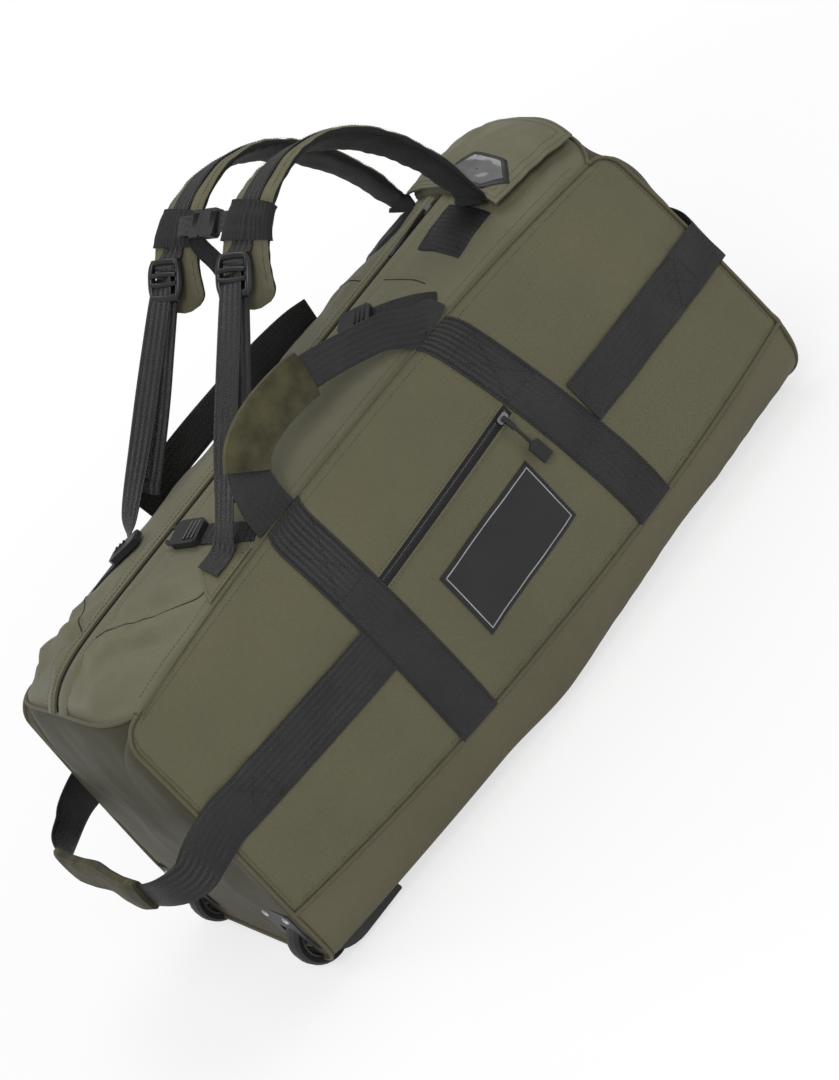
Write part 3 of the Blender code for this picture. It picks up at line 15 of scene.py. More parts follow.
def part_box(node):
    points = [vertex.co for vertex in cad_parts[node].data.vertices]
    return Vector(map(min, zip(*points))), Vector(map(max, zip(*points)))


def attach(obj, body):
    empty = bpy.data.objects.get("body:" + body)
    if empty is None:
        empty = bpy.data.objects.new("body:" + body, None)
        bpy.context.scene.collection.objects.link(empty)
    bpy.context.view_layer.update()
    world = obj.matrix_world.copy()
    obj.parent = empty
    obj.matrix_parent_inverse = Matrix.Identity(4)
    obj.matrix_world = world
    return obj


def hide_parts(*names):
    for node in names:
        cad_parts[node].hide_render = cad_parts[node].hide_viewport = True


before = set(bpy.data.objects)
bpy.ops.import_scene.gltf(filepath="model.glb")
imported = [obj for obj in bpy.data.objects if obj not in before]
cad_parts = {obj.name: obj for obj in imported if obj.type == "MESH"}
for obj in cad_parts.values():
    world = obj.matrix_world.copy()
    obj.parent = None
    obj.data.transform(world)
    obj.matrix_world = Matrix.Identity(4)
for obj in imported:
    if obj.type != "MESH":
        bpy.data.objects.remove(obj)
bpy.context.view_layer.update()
NEAR, FAR = -1, 1
SIDES = ((NEAR, "near"), (FAR, "far"))
BAG = "bag"


# ---- shape of the body, the same surfaces as the solids ------------------------------------------------
HALF_TOP, HALF_SIDE, HALF_BOTTOM = 0.389, 0.393, 0.397
CORNER, SIDE_BULGE = 0.026, 0.014
BAND_HEIGHT = 0.205
WEB_WIDE, WEB_NARROW = 0.050, 0.025
SKIN_LIFT, SKIN_THICK = 0.0006, 0.0014  # how far the cloth lies over the solids, and how thick it is
BAND_LIFT, BAND_THICK = 0.0022, 0.0018  # the same for the webbing round the body


def ease(t):
    t = np.clip(t, 0.0, 1.0)
    return t * t * (3 - 2 * t)


def section(u):
    """Half widths and heights of the top and bottom seams."""
    share = (u + 1) / 2
    full = 1 - np.minimum(np.abs(u), 1.0) ** 2.2
    top_y = (0.238 * (1 - share) + 0.222 * share) / 2 + 0.004 * full
    top_z = 0.331 * (1 - share) + 0.344 * share + 0.020 * full
    low_y = (0.298 * (1 - share) + 0.344 * share) / 2 + 0.018 * full
    return top_y, top_z, low_y, 0.090 - 0.016 * full


def ridge(x):
    return (0.3855 + 0.048 * x - 0.026 * np.exp(-(x + HALF_TOP) / 0.022) - 0.026 * np.exp(-(HALF_TOP - x) / 0.035))


def boot_floor(x):
    return 0.012 * (1 - ease((x + 0.144) / 0.108))


def side_at(x, v, sign):
    """Side panel over x and v; v is 0 at the bottom seam and 1 at the top seam."""
    u = x / HALF_SIDE
    top_y, top_z, low_y, low_z = section(u)
    y = low_y * (1 - v) + top_y * v + SIDE_BULGE * 4 * v * (1 - v) * (0.35 + 0.65 * (1 - np.minimum(abs(u), 1) ** 2.2))
    height = top_z - low_z
    into = np.clip((v * height - (height - CORNER)) / CORNER, 0.0, 1.0)
    half = HALF_BOTTOM * (1 - v) + HALF_TOP * v - CORNER * (1 - np.sqrt(1 - into ** 2))
    return np.stack([u * half, sign * y, low_z * (1 - v) + top_z * v], -1)


def side_v(x, z):
    _, top_z, _, low_z = section(x / HALF_SIDE)
    return (z - low_z) / (top_z - low_z)


def lid_at(x, y):
    """Lid over x and y, where x is before the corners are rounded off."""
    u = x / HALF_TOP
    top_y, top_z = section(u)[:2]
    w = np.clip(np.abs(y / top_y), 0.0, 1.0)
    z = top_z + (ridge(x) - top_z) * (1 - w ** 2.4)
    return np.stack([u * (HALF_TOP - CORNER * w ** 6), y + 0 * x, z], -1)


def boot_at(u, a):
    """Bottom panel; a runs from -1 at the near bottom seam to 1 at the far one."""
    low_y, low_z = section(u)[2:]
    x = u * HALF_BOTTOM
    power = 2 / (6 - 3.2 * ease((x + 0.15) / 0.30))
    turn = (a + 1) / 2 * math.pi
    c, s = -np.cos(turn), np.sin(turn)
    y = low_y * np.sign(c) * np.abs(c) ** power
    return np.stack([x, y, low_z - (low_z - boot_floor(x)) * np.minimum(1.012 * np.abs(s) ** power, 1.0)], -1)


def grid(rows, columns):
    """Two grids, the first value of each point along the rows and the second along the columns."""
    return np.meshgrid(rows, columns, indexing="ij")


def lengths(path):
    """Length along a path at each of its points."""
    return np.concatenate([[0], np.cumsum(np.linalg.norm(np.diff(path, axis=0), axis=1))])


def shaped(value, power):
    """A sine or cosine raised to a power with its sign kept, for a squarer or a rounder section."""
    return np.sign(value) * np.abs(value) ** power


def unit(v):
    v = np.asarray(v, float)
    return v / np.maximum(np.linalg.norm(v, axis=-1, keepdims=True), 1e-12)


def waves(p, q, seed, length, count=7, angle=None, spread=0.5):
    """Smooth undulation between about -1 and 1, from a few seeded sine waves."""
    rng = np.random.RandomState(seed)
    total = 0.0
    for _ in range(count):
        turn = rng.uniform(0, math.pi) if angle is None else angle + rng.uniform(-spread, spread)
        k = 2 * math.pi / length * rng.uniform(0.6, 1.6)
        total = total + np.sin(k * (p * math.cos(turn) + q * math.sin(turn)) + rng.uniform(0, 2 * math.pi))
    return total / math.sqrt(count) / 1.3


def crease(p, q, start, end, width, height):
    """Fold along a straight line, fading out at its ends."""
    start, end = np.array(start), np.array(end)
    length = np.linalg.norm(end - start)
    along = (end - start) / length
    t = ((p - start[0]) * along[0] + (q - start[1]) * along[1]) / length
    d = (p - start[0]) * -along[1] + (q - start[1]) * along[0]
    return height * np.exp(-(d / width) ** 2) * ease(t / 0.3) * ease((1 - t) / 0.3)


POCKET_ZIP, POCKET_ZIP_Z = (-0.1135, 0.097), (0.244, 0.2585)
# Compression straps: name, sewn end and tip in x and y, and whether the buckle half has prongs.
STRAPS = (("near_upper", (0.140, -0.103), (0.076, -0.026), False),
          ("near_lower", (-0.166, -0.109), (-0.194, -0.028), True),
          ("far_lower", (-0.266, 0.103), (-0.199, 0.048), False))


def calm_share(p, q, width=0.020):
    """How much of the folds is left beside the straps that lie on the lid."""
    left = 1.0
    for _, start, end, _ in STRAPS:
        start, end = np.array(start), np.array(end)
        run = end - start
        t = np.clip(((p - start[0]) * run[0] + (q - start[1]) * run[1]) / np.dot(run, run), 0, 1)
        d2 = (p - start[0] - run[0] * t) ** 2 + (q - start[1] - run[1] * t) ** 2
        left = left * (1 - 0.85 * np.exp(-(d2 / width ** 2) ** 2))
    return left


# ---- folds of the cloth, as heights over the surfaces ---------------------------------------------------
def side_folds(x, v, sign):
    _, top_z, _, low_z = section(x / HALF_SIDE)
    z = low_z * (1 - v) + top_z * v
    seed = 11 if sign < 0 else 31
    h = 0.0016 * waves(x, z, seed, 0.17) + 0.0005 * waves(x, z, seed + 1, 0.055)
    h = h + 0.0012 * waves(x, z, seed + 2, 0.05, angle=0.2) * ease((abs(x) - 0.28) / 0.08)
    edge = np.minimum(v, 1 - v)
    if sign < 0:
        off = z - np.interp(x, POCKET_ZIP, POCKET_ZIP_Z)
        h = h * (1 - 0.9 * np.exp(-(off / 0.022) ** 4) * ease((0.14 - np.abs(x)) / 0.03))
    return h * ease(edge / 0.10) * ease((HALF_SIDE - abs(x)) / 0.03)


# Start and end in x and y, width and height of each crease.
LID_CREASES = (((-0.335, -0.030), (-0.268, -0.110), 0.010, 0.0045),
               ((-0.360, -0.055), (-0.300, -0.116), 0.007, 0.0040),
               ((-0.300, -0.020), (-0.225, -0.075), 0.012, 0.0035),
               ((-0.375, -0.020), (-0.345, -0.110), 0.008, -0.0030),
               ((-0.340, 0.030), (-0.262, 0.105), 0.011, 0.0040),
               ((-0.370, 0.060), (-0.300, 0.112), 0.007, 0.0035),
               ((0.175, -0.025), (0.215, -0.110), 0.013, -0.0025),
               ((0.010, -0.030), (0.075, -0.112), 0.012, 0.0026))


def lid_folds(x, y):
    top_y = section(x / HALF_TOP)[0]
    w = np.abs(y / top_y)
    seed = 51 if np.mean(y) < 0 else 71
    h = 0.0015 * waves(x, y, seed, 0.10) + 0.0007 * waves(x, y, seed + 1, 0.035)
    wheel = ease((-0.19 - x) / 0.10)
    slumped = 0.0040 * waves(x, y, seed + 2, 0.060, angle=0.9, spread=0.6) + 0.0012 * waves(x, y, seed + 3, 0.03)
    h = h + wheel * slumped
    for start, end, width, height in LID_CREASES:
        h = h + crease(x, y, start, end, width, height)
    pull = ease((x - 0.30) / 0.06)
    h = h + pull * 0.0022 * waves(x, y, seed + 4, 0.05)
    zip_edge = ease((np.abs(y + 0.005) - 0.006) / 0.012)
    return (h + 0.001) * zip_edge * calm_share(x, y) * ease((1 - w) / 0.18) * ease((HALF_TOP - abs(x)) / 0.03)


def boot_folds(u, a):
    x = u * HALF_BOTTOM
    h = 0.0012 * waves(x, a * 0.2, 91, 0.12) + 0.0004 * waves(x, a * 0.2, 92, 0.04)
    up = ease((0.9 - np.abs(np.sin((a + 1) / 2 * math.pi))) / 0.3)
    return h * ease((x + 0.05) / 0.15) * ease((1 - np.abs(a)) / 0.05) * up


def lift(base, a, b, out, folds=0.0):
    """Points out metres over a surface with its folds, and the surface's outward normals."""
    e = 5e-4
    point = base(a, b)
    along = base(a + e, b) - base(a - e, b)
    across = base(a, b + e) - base(a, b - e)
    normal = unit(np.cross(along, across))
    centre = np.stack([point[..., 0] * 0.85, 0 * point[..., 0], 0 * point[..., 0] + 0.19], -1)
    normal = normal * np.sign(np.sum(normal * (point - centre), -1, keepdims=True))
    return point + normal * (np.asarray(out) + folds)[..., None], normal


def on_side(sign, x, v, out=0.0):
    x, v = np.broadcast_arrays(np.asarray(x, float), np.asarray(v, float))
    return lift(lambda a, b: side_at(a, b, sign), x, v, out + 0 * x, side_folds(x, v, sign))


def on_lid(x, y, out=0.0):
    x, y = np.broadcast_arrays(np.asarray(x, float), np.asarray(y, float))
    return lift(lid_at, x, y, out + 0 * x, lid_folds(x, y))


# ---- materials -----------------------------------------------------------------------------------------
def new_material(name):
    mat = bpy.data.materials.new(name)
    mat.use_nodes = True
    return mat, mat.node_tree, mat.node_tree.nodes["Principled BSDF"]


def feed(tree, node, values):
    """Sets or links a node's inputs from a table of numbers, colours and sockets."""
    for key, value in values.items():
        if isinstance(value, bpy.types.NodeSocket):
            tree.links.new(value, node.inputs[key])
        else:
            node.inputs[key].default_value = value


def add(tree, kind, links=(), **values):
    """Adds one node, sets its inputs and properties and links sockets into it."""
    made = tree.nodes.new(kind)
    for key, value in values.items():
        if key in made.inputs:
            made.inputs[key].default_value = value
        else:
            setattr(made, key, value)
    for key, socket in links:
        tree.links.new(socket, made.inputs[key])
    return made


def math_node(tree, operation, a, b):
    made = add(tree, "ShaderNodeMath", operation=operation)
    feed(tree, made, {0: a, 1: b})
    return made.outputs[0]


def band(tree, coords, axis, period, shape="SIN"):
    """Stripes of the given period in metres along one axis of the coordinates."""
    made = add(tree, "ShaderNodeTexWave", [("Vector", coords)], wave_type="BANDS", bands_direction=axis,
               wave_profile=shape, Scale=2 * math.pi / 20 / period)
    return made.outputs["Fac"]


def noise(tree, place, scale, detail, rough=0.5):
    made = add(tree, "ShaderNodeTexNoise", [("Vector", place)], Scale=scale, Detail=detail, Roughness=rough)
    return made.outputs["Fac"]


def relief(tree, height, strength, distance, links=()):
    made = add(tree, "ShaderNodeBump", [("Height", height), *links], Strength=strength, Distance=distance)
    return made.outputs["Normal"]


def spread(tree, value, low, high):
    made = add(tree, "ShaderNodeMapRange", [("Value", value)])
    feed(tree, made, {"To Min": low, "To Max": high})
    return made.outputs[0]


def multiply(tree, a, b):
    """Product of two colours."""
    made = add(tree, "ShaderNodeMix", data_type="RGBA", blend_type="MULTIPLY")
    feed(tree, made, {0: 1.0, 6: a, 7: b})
    return made.outputs[2]


def colour_ramp(tree, fac, low, high, dark, light):
    ramp = add(tree, "ShaderNodeValToRGB", [("Fac", fac)])
    for element, place, colour in zip(ramp.color_ramp.elements, (low, high), (dark, light)):
        element.position = place
        element.color = (*colour, 1)
    return ramp.outputs["Color"]


def shades(colour, dark, light):
    return [tuple(min(1.0, c * share) for c in colour) for share in (dark, light)]


def cloth(name, colour, rib=0.0018, weft=0.0011, contrast=0.10, rough=0.72, sheen=0.06, bump=0.35, blotch=0.07,
          patches=6.0):
    """Woven cloth with a rib across U and a finer weft across V, both in metres of the UV map."""
    mat, tree, shader = new_material(name)
    coords = add(tree, "ShaderNodeTexCoord").outputs
    ribs = band(tree, coords["UV"], "X", rib)
    weave = math_node(tree, "MULTIPLY", ribs, band(tree, coords["UV"], "Y", weft))
    weave = math_node(tree, "ADD", weave, math_node(tree, "MULTIPLY", ribs, 0.6))
    large = noise(tree, coords["Object"], patches, 4.0, 0.55)
    fine = noise(tree, coords["Object"], 420.0, 2.0, 0.6)
    base = colour_ramp(tree, weave, 0.1, 1.2, *shades(colour, 1 - contrast, 1 + contrast))
    tone = colour_ramp(tree, large, 0.35, 0.68, (1 - blotch,) * 3, (1 + blotch,) * 3)
    speck = colour_ramp(tree, fine, 0.3, 0.7, (0.94,) * 3, (1.05,) * 3)
    height = math_node(tree, "ADD", weave, math_node(tree, "MULTIPLY", fine, 0.5))
    feed(tree, shader, {
        "Base Color": multiply(tree, multiply(tree, base, tone), speck),
        "Normal": relief(tree, height, bump, 0.0003), "Roughness": spread(tree, large, rough - 0.05, rough + 0.06),
        "Sheen Weight": sheen, "Sheen Roughness": 0.4, "Specular IOR Level": 0.25})
    return mat


def webbing_material(name, colour=(0.0088, 0.0088, 0.0092), sheen=0.02):
    """Woven webbing with a herringbone across it, a slight waviness and broad patches of painted highlight and shade
    that stand for the sheen on its bends.
    """
    mat, tree, shader = new_material(name)
    coords = add(tree, "ShaderNodeTexCoord").outputs
    uv, place = coords["UV"], coords["Object"]
    slants = []
    for angle in (38, -38):
        turned = add(tree, "ShaderNodeMapping", [("Vector", uv)], Rotation=(0, 0, math.radians(angle)))
        slants.append(band(tree, turned.outputs[0], "X", 0.0016))
    switch = math_node(tree, "GREATER_THAN", band(tree, uv, "X", 0.0062, "TRI"), 0.5)
    weave = add(tree, "ShaderNodeMix", data_type="FLOAT")
    feed(tree, weave, {0: switch, 2: slants[0], 3: slants[1]})
    weave = weave.outputs[0]
    base = colour_ramp(tree, weave, 0.0, 1.0, *shades(colour, 0.72, 1.55))
    # Painted highlight and shade: broad noise patches from 0.75 to 1.6 times the colour stand for the sheen of light on
    # the webbing's bends.
    tone = colour_ramp(tree, noise(tree, place, 18.0, 3.0), 0.3, 0.7, (0.75,) * 3, (1.6,) * 3)
    height = math_node(tree, "ADD", weave, math_node(tree, "MULTIPLY", noise(tree, place, 900.0, 2.0), 0.6))
    sag = relief(tree, noise(tree, place, 26.0, 2.0), 0.35, 0.006)
    feed(tree, shader, {
        "Base Color": multiply(tree, base, tone), "Normal": relief(tree, height, 0.7, 0.0004, [("Normal", sag)]),
        "Roughness": 0.46, "Sheen Weight": sheen, "Sheen Roughness": 0.35, "Specular IOR Level": 0.38})
    return mat


def solid_material(name, colour, rough, metallic=0.0, grain=600.0, bump=0.12, specular=0.5):
    """Moulded plastic, rubber or metal with a fine grain and slightly uneven gloss."""
    mat, tree, shader = new_material(name)
    place = add(tree, "ShaderNodeTexCoord").outputs["Object"]
    large = noise(tree, place, 30.0, 3.0)
    feed(tree, shader, {
        "Base Color": colour_ramp(tree, large, 0.35, 0.65, *shades(colour, 0.85, 1.18)),
        "Normal": relief(tree, noise(tree, place, grain, 3.0), bump, 0.0002),
        "Roughness": spread(tree, large, rough - 0.06, rough + 0.08),
        "Metallic": metallic, "Specular IOR Level": specular})
    return mat


OLIVE = (0.115, 0.108, 0.0645)
M = {
    "side": cloth("side_cloth", OLIVE, contrast=0.16, bump=0.6, sheen=0.04),
    "lid": cloth("lid_cloth", (0.122, 0.116, 0.072), rib=0.0014, contrast=0.06, rough=0.55, sheen=0.10, bump=0.22),
    "end": cloth("end_cloth", (0.060, 0.056, 0.033), rib=0.0014, contrast=0.08, rough=0.62, sheen=0.02, bump=0.3),
    "boot": cloth("bottom_cloth", (0.112, 0.102, 0.062), rib=0.0014, contrast=0.06, rough=0.60, bump=0.25),
    "web": webbing_material("webbing"),
    "fleece": cloth("grip_fleece", (0.060, 0.055, 0.027), rib=0.0007, weft=0.0006, contrast=0.16, rough=0.92,
                    sheen=0.12, bump=0.6, blotch=0.40, patches=38.0),
    "pad": cloth("pad_cloth", (0.118, 0.110, 0.067), rib=0.0012, contrast=0.08, bump=0.3),
    "mesh": cloth("pad_mesh", (0.0105, 0.0105, 0.0110), rib=0.0034, weft=0.0030, contrast=0.55, rough=0.75,
                  sheen=0.05, bump=0.8, blotch=0.15),
    "piping": cloth("piping_cloth", (0.098, 0.089, 0.054), rib=0.0010, contrast=0.06, rough=0.6),
    "binding": cloth("pad_binding", (0.0105, 0.0105, 0.0110), rib=0.0011, weft=0.0009, contrast=0.25, rough=0.7,
                     sheen=0.02, bump=0.4),
    "elastic": cloth("elastic_band", (0.0115, 0.0115, 0.0120), rib=0.0040, weft=0.0012, contrast=0.45, rough=0.62,
                     sheen=0.03, bump=0.9),
    # Painted shade: this near-black colour on the lid seam cords stands for the shade in the seams' creases.
    "seam": cloth("seam_painted_shade", (0.030, 0.027, 0.016), rib=0.0010, rough=0.8, sheen=0.0),
    "thread": solid_material("thread", (0.060, 0.055, 0.034), 0.7),
    "thread_black": solid_material("black_thread", (0.010, 0.010, 0.0105), 0.6),
    "plastic": solid_material("moulded_plastic", (0.0115, 0.0115, 0.0122), 0.36),
    "housing": solid_material("housing_plastic", (0.020, 0.020, 0.022), 0.48, grain=900.0, bump=0.3),
    "rubber": solid_material("tyre_rubber", (0.014, 0.014, 0.015), 0.55),
    "hub": solid_material("hub_plastic", (0.030, 0.030, 0.032), 0.34),
    "steel": solid_material("plated_steel", (0.56, 0.56, 0.57), 0.28, 1.0),
    "grey": solid_material("grey_metal", (0.30, 0.30, 0.31), 0.32, 1.0),
    "board": solid_material("board_plastic", (0.05, 0.05, 0.05), 0.6),
    "patch": solid_material("patch_rubber", (0.0075, 0.0075, 0.0080), 0.52, grain=500.0, bump=0.2),
    "line": solid_material("patch_line", (0.33, 0.33, 0.34), 0.5),
    "teeth": solid_material("zip_teeth", (0.030, 0.030, 0.032), 0.34),
    "window": solid_material("clear_window", (0.115, 0.118, 0.115), 0.14, bump=0.05),
    "zip_tape": cloth("zip_tape", (0.013, 0.013, 0.014), rib=0.0008, contrast=0.3, rough=0.7, sheen=0.05),
}


# ---- mesh helpers ----------------------------------------------------------------------------------------
def make(name, verts, faces, mats, uvs=None, slots=None, body=BAG, replaces=(), smooth=True, sharp=40):
    """One mesh piece that rides on a body.  uvs holds one pair for each vertex."""
    mesh = bpy.data.meshes.new(name)
    mesh.from_pydata(np.asarray(verts, float).tolist(), [], faces)
    mats = mats if isinstance(mats, (list, tuple)) else [mats]
    for mat in mats:
        mesh.materials.append(M[mat])
    if slots is not None:
        mesh.polygons.foreach_set("material_index", slots)
    if uvs is not None:
        layer = mesh.uv_layers.new(name="UVMap")
        index = np.zeros(len(mesh.loops), dtype=np.int32)
        mesh.loops.foreach_get("vertex_index", index)
        layer.data.foreach_set("uv", np.asarray(uvs, float)[index].ravel())
    if smooth:
        mesh.shade_smooth()
        mesh.set_sharp_from_angle(angle=math.radians(sharp))
    obj = bpy.data.objects.new(name, mesh)
    bpy.context.scene.collection.objects.link(obj)
    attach(obj, body)
    if replaces:
        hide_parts(*replaces)
    return obj


def caps(rings, count):
    """Faces that close both ends of a row of rings."""
    return [tuple(range(count)), tuple((rings - 1) * count + k for k in reversed(range(count)))]


def rim_mask(rows, cols):
    """True on the outer rows and columns of a grid."""
    mask = np.ones((rows, cols), bool)
    mask[1:-1, 1:-1] = False
    return mask


def grid_faces(rows, cols, start=0, close=False):
    faces = []
    last = cols if close else cols - 1
    for i in range(rows - 1):
        for j in range(last):
            k = (j + 1) % cols
            a, b = start + i * cols, start + (i + 1) * cols
            faces.append((a + j, b + j, b + k, a + k))
    return faces


def outwards(points, faces, normals):
    """Whether the first face of a grid already points along the given normals."""
    a, b, c = (points[k] for k in faces[len(faces) // 2][:3])
    return float(np.dot(np.cross(b - a, c - a), normals[faces[len(faces) // 2][0]])) > 0


def arc_uv(points):
    """Lengths along both directions of a grid, measured on its middle lines."""
    rows, cols = points.shape[:2]
    return np.stack(grid(lengths(points[:, cols // 2]), lengths(points[rows // 2])), -1)


def skin(name, points, normals, mat, thick=SKIN_THICK, **how):
    """Closed thin layer: a grid of outer points, an inner grid under it and the rims between them."""
    rows, cols = points.shape[:2]
    outer = points.reshape(-1, 3)
    inner = (points - normals * thick).reshape(-1, 3)
    faces = grid_faces(rows, cols)
    if not outwards(outer, faces, normals.reshape(-1, 3)):
        faces = [f[::-1] for f in faces]
    count = len(outer)
    back = [tuple(count + k for k in reversed(f)) for f in faces]
    rim = [i * cols for i in range(rows)] + [(rows - 1) * cols + j for j in range(1, cols)]
    rim += [i * cols + cols - 1 for i in range(rows - 2, -1, -1)] + [j for j in range(cols - 2, 0, -1)]
    border = []
    for k, a in enumerate(rim):
        b = rim[(k + 1) % len(rim)]
        border.append((a, b, count + b, count + a))
    uv = arc_uv(points).reshape(-1, 2)
    return fix_normals(make(name, np.vstack([outer, inner]), faces + back + border, mat, np.vstack([uv, uv]), **how))


def fix_normals(obj, merge=0.0):
    """Turns all faces outwards, after merging points closer than the given distance."""
    work = bmesh.new()
    work.from_mesh(obj.data)
    if merge:
        bmesh.ops.remove_doubles(work, verts=work.verts, dist=merge)
    bmesh.ops.recalc_face_normals(work, faces=work.faces)
    work.to_mesh(obj.data)
    work.free()
    return obj


def spaced(count, ends=(0.0012, 0.004, 0.009, 0.016, 0.026)):
    """Shares from 0 to 1 with extra rows close to both ends."""
    inner = np.linspace(0.04, 0.96, count)
    return np.concatenate([[0.0], ends, inner, [1 - e for e in ends[::-1]], [1.0]])


def seam_dip(distance, depth=0.0024, width=0.0045):
    """How far a panel turns down at its seam."""
    return -depth * np.exp(-(distance / width) ** 2)


def smooth_path(points, steps):
    """Smooth curve through rows of numbers at even steps, and with even lengths between its points."""
    rows = np.array(points, dtype=float)
    padded = np.vstack([2 * rows[0] - rows[1], rows, 2 * rows[-1] - rows[-2]])
    spans = len(rows) - 1
    out = []
    for k in range(steps * 4 + 1):
        place = k / (steps * 4) * spans
        i = min(int(place), spans - 1)
        t = place - i
        p0, p1, p2, p3 = padded[i:i + 4]
        out.append(0.5 * (2 * p1 + (p2 - p0) * t + (2 * p0 - 5 * p1 + 4 * p2 - p3) * t ** 2
                          + (3 * p1 - p0 - 3 * p2 + p3) * t ** 3))
    out = np.array(out)
    length = lengths(out[:, :3])
    even = np.linspace(0, length[-1], steps + 1)
    return np.stack([np.interp(even, length, out[:, c]) for c in range(out.shape[1])], -1)


def path_frames(path, across):
    tangent = unit(np.gradient(path, axis=0))
    side = unit(across - tangent * np.sum(across * tangent, -1, keepdims=True))
    return tangent, side, np.cross(side, tangent)


def ribbon(name, route, across, width, thick, mat, steps=60, crown=0.0, columns=8, **how):
    """Strap along a route; its outer face lies towards cross(across, route).  Returns the piece and its lines."""
    rows = len(route)
    widths, thicks = np.broadcast_to(width, rows), np.broadcast_to(thick, rows)
    leans = np.broadcast_to(across, (rows, 3))
    table = smooth_path(np.hstack([np.array(route), leans, widths[:, None], thicks[:, None]]), steps)
    path = table[:, :3]
    tangent, side, through = path_frames(path, table[:, 3:6])
    c = np.linspace(-1, 1, columns)
    w, t = table[:, 6:7] / 2, table[:, 7:8] / 2
    soft = 1 - 0.45 * (np.abs(c) > 0.99)
    arch = crown * (1 - c[None] ** 2) ** 0.7
    flat = path[:, None] + side[:, None] * (w * c[None])[..., None]
    outer = flat + through[:, None] * (t * soft[None] + arch)[..., None]
    inner = flat + through[:, None] * (-t * soft[None] - 0.35 * arch)[..., None]
    ring = np.concatenate([outer, inner[:, ::-1]], axis=1)
    n, cols = ring.shape[:2]
    u = np.concatenate([c, c[::-1]])[None] * w
    uv = np.stack([u, np.broadcast_to(lengths(path)[:, None], u.shape)], -1).reshape(-1, 2)
    faces = grid_faces(n, cols, close=True) + caps(n, cols)
    obj = fix_normals(make(name, ring.reshape(-1, 3), faces, mat, uv, **how))
    return obj, (path, tangent, side, through, table)


def tube(name, path, radius, mat, count=8, **how):
    """Round piping or cord along a path."""
    path = np.asarray(path, float)
    tangent = unit(np.gradient(path, axis=0))
    guide = np.array([0.0, 0.0, 1.0]) if abs(tangent[0][2]) < 0.9 else np.array([1.0, 0.0, 0.0])
    rings = []
    for point, t in zip(path, tangent):
        a = unit(guide - t * np.dot(guide, t))
        b = np.cross(t, a)
        guide = a
        rings.append([point + radius * (a * math.cos(q) + b * math.sin(q))
                      for q in np.linspace(0, 2 * math.pi, count, endpoint=False)])
    n = len(rings)
    verts = np.array(rings).reshape(-1, 3)
    faces = grid_faces(n, count, close=True) + caps(n, count)
    length = lengths(path)
    uv = [(k / count * 2 * math.pi * radius, length[i]) for i in range(n) for k in range(count)]
    return fix_normals(make(name, verts, faces, mat, uv, **how))


STITCH_CORNERS = ((-1, -1, 0), (-1, 1, 0), (1, 1, 0), (1, -1, 0),
                  (-0.6, -0.5, 1), (-0.6, 0.5, 1), (0.6, 0.5, 1), (0.6, -0.5, 1))
STITCH_FACES = ((4, 5, 6, 7), (0, 1, 5, 4), (1, 2, 6, 5), (2, 3, 7, 6), (3, 0, 4, 7), (3, 2, 1, 0))


def stitch_line(path, normals, pitch=0.0042, long=0.0027, wide=0.00035, high=0.00030):
    """Verts and faces of a row of stitches along a path on a surface."""
    path, normals = np.asarray(path), unit(normals)
    length = lengths(path)
    marks = np.arange(pitch / 2, length[-1], pitch)

    def at(places, rows):
        return np.stack([np.interp(places, length, rows[:, c]) for c in range(3)], -1)

    outs = unit(at(marks, normals))
    alongs = unit(at(np.minimum(marks + 0.001, length[-1]), path) - at(np.maximum(marks - 0.001, 0), path))
    verts, faces = [], []
    for m, n, t, s in zip(at(marks, path), outs, alongs, np.cross(outs, alongs)):
        start = len(verts)
        verts += [m + t * (a * long / 2) + s * (b * wide) + n * (h * high) for a, b, h in STITCH_CORNERS]
        faces += [tuple(start + q for q in f) for f in STITCH_FACES]
    return verts, faces


STITCHES = {}


def stitch(path, normals, mat="thread", body=BAG, **how):
    """Collects stitches that are made into one piece for each body and thread."""
    verts, faces = STITCHES.setdefault((mat, body), ([], []))
    new_verts, new_faces = stitch_line(path, normals, **how)
    start = len(verts)
    verts.extend(new_verts)
    faces.extend(tuple(start + k for k in f) for f in new_faces)


def soften(obj, width, degrees):
    """Rounds an object's sharp edges with a modifier."""
    bevel = obj.modifiers.new("soften", 'BEVEL')
    bevel.width = width
    bevel.segments = 2
    bevel.limit_method = 'ANGLE'
    bevel.angle_limit = math.radians(degrees)


def plate(name, origin, axes, outline, low, high, mat, **how):
    """Flat piece from an outline in its own axes, with rounded edges."""
    ex, ey, ez = axes
    count = len(outline)
    verts = [origin + ex * a + ey * b + ez * z for z in (low, high) for a, b in outline]
    faces = caps(2, count) + [(k, (k + 1) % count, count + (k + 1) % count, count + k) for k in range(count)]
    obj = fix_normals(make(name, verts, faces, mat, smooth=False, **how))
    soften(obj, 0.0006, 30)
    obj.data.shade_smooth()
    obj.modifiers.new("weights", 'WEIGHTED_NORMAL').keep_sharp = False


# ---- camera, light and floor --------------------------------------------------------------------------------
# The camera that was fitted to the bag's outline: angles in degrees, distance in metres, lens in millimetres.
CAMERA_AZIMUTH, CAMERA_ELEVATION, CAMERA_ROLL = 21.61, 25.33, 40.79
CAMERA_TARGET, CAMERA_AWAY, CAMERA_LENS = (0.00258, 0.0, 0.1638), 2.3516, 76.15


